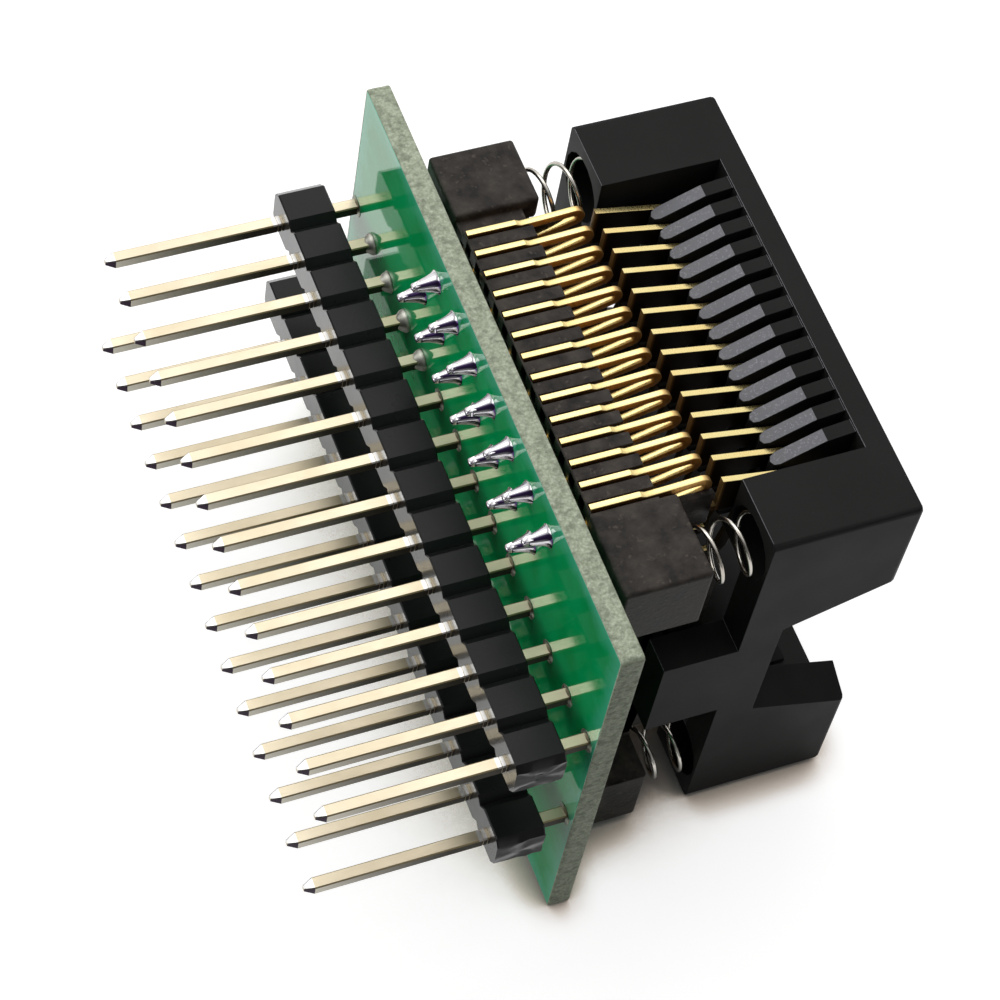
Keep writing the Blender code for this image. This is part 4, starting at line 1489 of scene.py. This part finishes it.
    def springs(self, side: str) -> Piece:
        """Build the bending parts of one row.

        Args:
            side: near or far.

        Returns:
            The bending parts, which stand for that row's packed contacts.
        """
        name = f"contact_springs_{side}"
        single = stamped(name, self.spring_outline(), self.thickness, self.rounding)
        sign = 1 if side == "far" else -1
        if sign < 0:
            single.transform(Matrix.Rotation(math.pi, 4, "Z"))
        start = (LAYOUT.socket_x - sign * LAYOUT.first_contact, 0.0, LAYOUT.base_low)
        piece = weigh_normals(set_out(name, single, LAYOUT.contacts_per_side, start,
                                      -sign * LAYOUT.contact_pitch, GOLD))
        nodes = [f"contact_{side}_{number:02d}" for number in range(1, LAYOUT.contacts_per_side + 1)]
        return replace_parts(piece, *nodes)

    def tail_solder(self, name: str, tail: float, first: int) -> Piece:
        """Build the solder cones on every second tail of both rows.

        Args:
            name: The piece's name.
            tail: How far out the tails are.
            first: The number of the first one, 0 or 1.

        Returns:
            The cones.
        """
        radius, height = self.cone_radius, self.cone_height
        profile = [(radius * across, -height * down) for across, down in CONE_PROFILE]
        cone = lathe(name, profile, self.cone_sides)
        for vert in cone.vertices:
            lump = noise.noise(vert.co / self.lump_size) * self.lump_share
            vert.co.x *= 1.0 + lump
            vert.co.y *= 1.0 + lump * 0.7
        return self.every_second(name, cone, (tail, LAYOUT.board_low), first, SOLDER, {
            "Size Spread": 0.05, "Turn Spread": ANY_TURN, "Seed": self.cone_seed + first,
        })

    def tinning_sleeve(self, name: str, tail: float, first: int) -> Piece:
        """Build the tin on every second tail of both rows.

        Args:
            name: The piece's name.
            tail: How far out the tails are.
            first: The number of the first one, 0 or 1.

        Returns:
            The sleeves.
        """
        half_x = self.thickness / 2 + self.tinning
        half_y = self.tail_width / 2 + self.tinning
        tip = self.tail_point[0] / 2 + self.tinning
        shoulder = self.tail_below - self.tail_point[1]
        end = self.tail_below + self.tinning
        rings = [oblong_ring(half_x, across, 0.03 * MM, -down) for across, down in (
            (half_y, 0.05 * MM), (half_y, shoulder), (tip + 0.03 * MM, end - 0.06 * MM))]
        rings.append(oblong_ring(half_x - 0.05 * MM, tip - 0.02 * MM, 0.03 * MM, -end))
        sleeve = loft(name, rings, 40.0)
        return self.every_second(name, sleeve, (tail, LAYOUT.board_low), first, SOLDER)

    def build(self) -> list[Piece]:
        """Build the contacts and their solder.

        Returns:
            The pieces, riding on the adapter.
        """
        rows = (("inner", LAYOUT.inner_tail, 0), ("outer", LAYOUT.outer_tail, 1))
        makers = (("contact_stems", self.stems), ("tail_solder", self.tail_solder),
                  ("tinned_tails", self.tinning_sleeve))
        pieces = [make(f"{name}_{row}", tail, first) for name, make in makers for row, tail, first in rows]
        springs = [self.springs("near"), self.springs("far")]
        pieces = carried(pieces + springs, Body.ADAPTER)
        for piece, sign in zip(springs, (-1, 1)):
            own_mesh(piece)
        return pieces


@dataclass
class Moulding:
    """A moulded part; its edges are rounded, apart from the shortest and the flattest."""

    rounding: float
    shortest: float
    flattest: float = math.radians(35)

    def body(self, node: str, name: str, finish: Finish) -> Piece:
        """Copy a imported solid, join its triangles into faces and round its edges.

        Args:
            node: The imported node.
            name: The new piece's name.
            finish: Its finish.

        Returns:
            The new piece, which stands for the node.
        """
        bm = bmesh.new()
        bm.from_mesh(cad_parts[node].data)
        bmesh.ops.remove_doubles(bm, verts=bm.verts, dist=1e-6)
        bmesh.ops.dissolve_limit(bm, angle_limit=math.radians(0.5), verts=bm.verts, edges=bm.edges)
        edges = [edge for edge in bm.edges if edge.is_manifold and edge.calc_length() > self.shortest
                 and edge.calc_face_angle() > self.flattest]
        bmesh.ops.bevel(bm, geom=edges, offset=self.rounding, segments=2, profile=0.5, affect="EDGES",
                        clamp_overlap=False)
        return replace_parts(weigh_normals(new_piece(name, mesh_of(bm, name, 36.0), finish)), node)


@dataclass
class SocketBase(Moulding):
    """Grainy base that carries the contacts, with its edges slightly rounded."""

    rounding: float = 0.05 * MM
    shortest: float = 0.30 * MM
    floor_reach: tuple[float, float] = (11.30 * MM, 12.10 * MM)
    floor_rise: float = 0.10 * MM
    floor_thickness: float = 0.095 * MM
    floor_half: float = 8.55 * MM
    fin_reach: tuple[float, float] = (8.70 * MM, 11.30 * MM)
    fin_height: tuple[float, float] = (18.80 * MM, 21.90 * MM)
    fin_place: float = 8.55 * MM
    fin_half: float = 0.20 * MM

    def build(self) -> list[Piece]:
        """Build the base's pieces, which ride on the adapter."""
        body = self.body("socket_base", "base_body", BASE_PLASTIC)
        return carried([body, self.comb_floors(), self.end_fins()], Body.ADAPTER)

    def comb_floors(self) -> Piece:
        """Build the thin floors that close the comb's slots under the stems.

        Returns:
            Both floors.
        """
        low = LAYOUT.base_low + self.floor_rise
        bars = paired_bars("comb_floor", LAYOUT.socket_x, self.floor_half, self.floor_reach,
                           (low, low + self.floor_thickness), 0.02 * MM)
        return joined("comb_floors", bars, BASE_PLASTIC)

    def end_fins(self) -> Piece:
        """Build the upright fin at each end of both rows of contacts.

        Returns:
            The four fins.
        """
        fins = []
        for end in (-1, 1):
            x = LAYOUT.socket_x + end * self.fin_place
            fins += paired_bars("end_fin", x, self.fin_half, self.fin_reach, self.fin_height, 0.06 * MM)
        return joined("end_fins", fins, BASE_PLASTIC)


@dataclass
class SprungCover(Moulding):
    """Matt cover; the sloped ends of its ribs are paler grey, painted light for slopes that catch light from
    below, on a fine grain.
    """

    rounding: float = 0.03 * MM
    shortest: float = 0.25 * MM
    back_reach: tuple[float, float] = (7.74 * MM, 8.08 * MM)
    back_heights: tuple[float, float] = (26.00 * MM, 29.50 * MM)
    back_half: float = 9.05 * MM
    tooth_low: float = 23.00 * MM
    tooth_half: float = 0.42 * MM
    tooth_inset: float = 0.02 * MM
    tooth_overlap: float = 0.2 * MM
    slope: tuple[float, float] = (-0.55, -0.30)

    def build(self) -> list[Piece]:
        """Build the cover.

        Returns:
            The pieces, riding on the cover's body.
        """
        body = self.body("socket_cover", "cover_body", COVER_PLASTIC)
        body.data.materials.append(TONGUE_PLASTIC.material())
        # Faces sloping down and outwards take the paler plastic: painted light.
        low, high = self.slope
        for face in body.data.polygons:
            if low < face.normal.z < high and abs(face.normal.y) > 0.75 and abs(face.normal.x) < 0.2:
                face.material_index = 1
        return carried([body, self.window_backs()], Body.COVER)

    def window_backs(self) -> Piece:
        """Build the walls behind the ribs, which close the windows above the contacts' arms.

        Returns:
            Both walls, with their teeth.
        """
        inner, outer = self.back_reach
        bars = paired_bars("window_back", LAYOUT.socket_x, self.back_half, self.back_reach,
                           self.back_heights, 0.05 * MM)
        reach = (inner + self.tooth_inset, outer - self.tooth_inset)
        heights = (self.tooth_low, self.back_heights[0] + self.tooth_overlap)
        for place in range(LAYOUT.contacts_per_side + 1):
            x = LAYOUT.socket_x + LAYOUT.first_contact + (place - 0.5) * LAYOUT.contact_pitch
            bars += paired_bars("window_tooth", x, self.tooth_half, reach, heights, 0.05 * MM)
        return joined("cover_window_backs", bars[::2] + bars[1::2], COVER_PLASTIC)


@dataclass
class CoilSprings:
    """Four coil springs between the base and the cover."""

    radius: float = 1.47 * MM
    wire: float = 0.125 * MM
    turns: float = 7.3
    steps: int = 260
    sides: int = 12
    from_middle: float = 11.00 * MM
    from_axis: float = 9.90 * MM
    low: float = 17.69 * MM
    high: float = 26.14 * MM
    end_rise: float = 0.352 * MM
    pressed: float = 0.715
    fixed: float = 17.53 * MM

    def spring(self, name: str, x: float, y: float) -> Piece:
        """Wind the spring that stands for a packed one, at its place along and across."""
        piece = run_tree("coil_" + name, None, coil_tree(), {
            "Turns": self.turns, "Steps": self.steps, "Sides": self.sides, "Radius": self.radius,
            "Wire": self.wire, "Low": self.low, "High": self.high, "End Rise": self.end_rise,
            "Centre": (x, y, 0.0), "Finish": STEEL,
        })
        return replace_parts(piece, name)

    def build(self) -> list[Piece]:
        """Build the springs.

        Returns:
            The pieces, riding on the adapter.
        """
        pieces = []
        for side, sign_y in (("near", -1), ("far", 1)):
            for end, sign_x in (("left", -1), ("right", 1)):
                x = LAYOUT.socket_x + sign_x * self.from_middle
                piece = self.spring(f"spring_{side}_{end}", x, sign_y * self.from_axis)
                pieces += carried([piece], Body.ADAPTER)
                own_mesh(piece)
        return pieces


# Studio


def cleared(owner: Any) -> Nodes:
    """Empty the node tree of a material or a world.

    Args:
        owner: The material or world.

    Returns:
        Its nodes.
    """
    owner.use_nodes = True
    owner.node_tree.nodes.clear()
    return Nodes(owner.node_tree)


@dataclass(frozen=True)
class PaleTable(Finish):
    """Matt white table that shows white to the camera, keeps the real shadows and a painted shadow near the
    adapter, and is seen from one side only.
    """

    name: str
    diffuse: float = 0.45
    glow: float = 0.80
    mirrored_glow: float = 0.52
    contact_reach: float = 2.3 * MM
    nook_reach: float = 11 * MM
    shadow_tint: Colour = (0.80, 0.62, 0.45)

    def open_share(self, nodes: Nodes, reach: float) -> Socket:
        """Return how open each point is to what lies within a reach."""
        return nodes.add("ShaderNodeAmbientOcclusion", {"Distance": reach}, samples=12).outputs["AO"]

    def build(self) -> bpy.types.Material:
        """Make the table's material.

        Returns:
            The new material.
        """
        material = bpy.data.materials.new(self.name)
        nodes = cleared(material)
        path = nodes.add("ShaderNodeLightPath").outputs
        nook = self.open_share(nodes, self.nook_reach)
        # Painted shade in reflections: the glow seen in mirrors is darker near the adapter.
        mirrored = nodes.times(nodes.largest(path["Is Glossy Ray"], path["Is Transmission Ray"]),
                               nodes.remap(nook, 0.45, 1.0, 0.15, 1.0))
        glow_level = nodes.largest(nodes.times(path["Is Camera Ray"], self.glow),
                                   nodes.times(mirrored, self.mirrored_glow))
        weave = nodes.noise(nodes.add("ShaderNodeTexCoord").outputs["Object"], 60.0, 3.0)
        tone = nodes.remap(weave, 0.3, 0.7, self.diffuse - 0.01, self.diffuse + 0.01)
        # Painted shadow: the glow that the camera sees is darkened and tinted brown near the adapter and in
        # its nooks, from ambient occlusion.
        open_sky = self.open_share(nodes, self.contact_reach)
        shade = nodes.times(nodes.power(nodes.remap(open_sky, 0.38, 0.92, 0.06, 1.0), 1.3),
                            nodes.remap(nook, 0.34, 0.56, 0.02, 1.0))
        tint = nodes.mix(nodes.remap(shade, 0.3, 1.0), self.shadow_tint, (1.0, 1.0, 1.0))
        tinted = nodes.mix(1.0, tint, shade, "MULTIPLY")
        matt = nodes.add("ShaderNodeBsdfDiffuse", {"Color": tone}).outputs[0]
        glow = nodes.add("ShaderNodeEmission", {"Color": tinted, "Strength": glow_level}).outputs[0]
        lit = nodes.add("ShaderNodeAddShader", {0: matt, 1: glow}).outputs[0]
        clear = nodes.add("ShaderNodeBsdfTransparent").outputs[0]
        back = nodes.add("ShaderNodeNewGeometry").outputs["Backfacing"]
        shown = nodes.add("ShaderNodeMixShader", {0: back, 1: lit, 2: clear}).outputs[0]
        nodes.add("ShaderNodeOutputMaterial", {"Surface": shown})
        return material


@dataclass(frozen=True)
class Lamp:
    """A soft square lamp that faces the adapter, in millimetres and watts."""

    name: str
    place: tuple[float, float, float]
    size: float
    power: float
    tint: Colour = (1.0, 1.0, 1.0)

    def hang(self, middle: Vector) -> None:
        """Hang the lamp.

        Args:
            middle: The point that it faces.
        """
        light = bpy.data.lights.new(self.name, "AREA")
        light.size = self.size * MM
        light.energy = self.power
        light.color = self.tint
        lamp = placed(self.name, light)
        lamp.location = [MM * part for part in self.place]
        lamp.rotation_euler = (lamp.location - middle).to_track_quat("Z", "Y").to_euler()


LAMPS = (
    Lamp("key", (-90, -170, 70), 120, 0.050, (1.0, 0.97, 0.92)),
    Lamp("side", (170, -50, 60), 90, 0.004, (0.97, 0.98, 1.0)),
    Lamp("low", (-95, -160, -60), 110, 0.045, (1.0, 1.0, 0.97)),
    Lamp("under", (-30, -50, -180), 120, 0.070),
    Lamp("top", (-40, 30, 190), 90, 0.025),
    Lamp("back", (-60, 190, 60), 110, 0.050),
)


@dataclass
class Studio:
    """Pale table behind the adapter, pale floor under it, soft lights and the camera."""

    table_y: float = 12.68 * MM
    table_size: float = 900 * MM
    lens: float = 115.13
    sensor: float = 36.0
    camera_place: tuple[float, float, float] = (77.01 * MM, -136.08 * MM, -30.75 * MM)
    camera_right: tuple[float, float, float] = (0.35123982, -0.12000035, 0.92856368)
    camera_up: tuple[float, float, float] = (-0.81005888, -0.53626765, 0.23711097)
    camera_back: tuple[float, float, float] = (0.46950527, -0.83547407, -0.28556591)
    middle: tuple[float, float, float] = (0.0, 0.0, 15.4 * MM)
    bright_side: tuple[float, float, float] = (-0.70, -0.71, 0.08)

    def sheet(self, name: str, centre: Vector, normal: Vector) -> Piece:
        """Build a flat stage sheet.

        Args:
            name: The sheet's name.
            centre: Its middle.
            normal: The way it faces.

        Returns:
            The sheet.
        """
        bm = bmesh.new()
        bmesh.ops.create_grid(bm, x_segments=1, y_segments=1, size=self.table_size / 2)
        turn = normal.to_track_quat("Z", "Y").to_matrix().to_4x4()
        bmesh.ops.transform(bm, matrix=Matrix.Translation(centre) @ turn, verts=bm.verts)
        mesh = bpy.data.meshes.new(name)
        bm.to_mesh(mesh)
        bm.free()
        piece = new_piece(name, mesh, PaleTable(name + "_white"))
        return piece

    def world(self) -> None:
        """Make the world: white to the camera, a soft gradient to everything else."""
        world = bpy.data.worlds.new("studio")
        nodes = cleared(world)
        direction = nodes.add("ShaderNodeTexCoord").outputs["Generated"]
        height = nodes.remap(nodes.parts(direction)["Z"], -1.0, 1.0, 0.10, 0.20)
        towards = nodes.add("ShaderNodeVectorMath", {0: direction, 1: self.bright_side},
                            operation="DOT_PRODUCT")
        front = nodes.power(nodes.remap(towards.outputs["Value"], 0.10, 0.85, 0.0, 1.0), 1.3)
        level = nodes.plus(height, nodes.times(front, 0.80))
        soft = nodes.add("ShaderNodeBackground", {"Color": level, "Strength": 1.0}).outputs[0]
        white = nodes.add("ShaderNodeBackground", {"Color": (1.0, 1.0, 1.0, 1.0), "Strength": 1.0}).outputs[0]
        seen = nodes.add("ShaderNodeLightPath").outputs["Is Camera Ray"]
        both = nodes.add("ShaderNodeMixShader", {0: seen, 1: soft, 2: white}).outputs[0]
        nodes.add("ShaderNodeOutputWorld", {"Surface": both})
        bpy.context.scene.world = world

    def camera(self) -> None:
        """Set the camera at the photograph's angle."""
        data = bpy.data.cameras.new("camera")
        data.lens = self.lens
        data.sensor_width = self.sensor
        data.clip_start = 5 * MM
        data.clip_end = 5.0
        camera = placed("camera", data)
        columns = Matrix((self.camera_right, self.camera_up, self.camera_back)).transposed().to_4x4()
        camera.matrix_world = Matrix.Translation(self.camera_place) @ columns
        bpy.context.scene.camera = camera

    def build(self) -> None:
        """Stage the table and floor, and hang the lights."""
        table = self.sheet("table", Vector((0.0, self.table_y, 0.0)), Vector((0.0, -1.0, 0.0)))
        floor = self.sheet("floor", Vector((0.0, 0.0, -0.02 * MM)), Vector((0.0, 0.0, 1.0)))
        for sheet in (table, floor):
            sheet.visible_shadow = False
            sheet.visible_diffuse = False
        floor.visible_glossy = False
        for lamp in LAMPS:
            lamp.hang(Vector(self.middle))
        self.world()
        self.camera()
        bpy.context.scene.view_settings.view_transform = "Standard"


def main() -> None:
    """Build the adapter's sub-assemblies in order, then the studio."""
    header_y = LAYOUT.row_spacing / 2
    assemblies = [
        AdapterBoard(), PinHeader("near", -header_y), PinHeader("far", header_y, seed=8), ContactRows(),
        SocketBase(), SprungCover(), CoilSprings(),
    ]
    for assembly in assemblies:
        for piece in assembly.build():
            LOG.info("%s: %d faces", piece.name, len(piece.data.polygons))
    Studio().build()


if __name__ == "__main__":
    logging.basicConfig(level=logging.INFO)
    main()
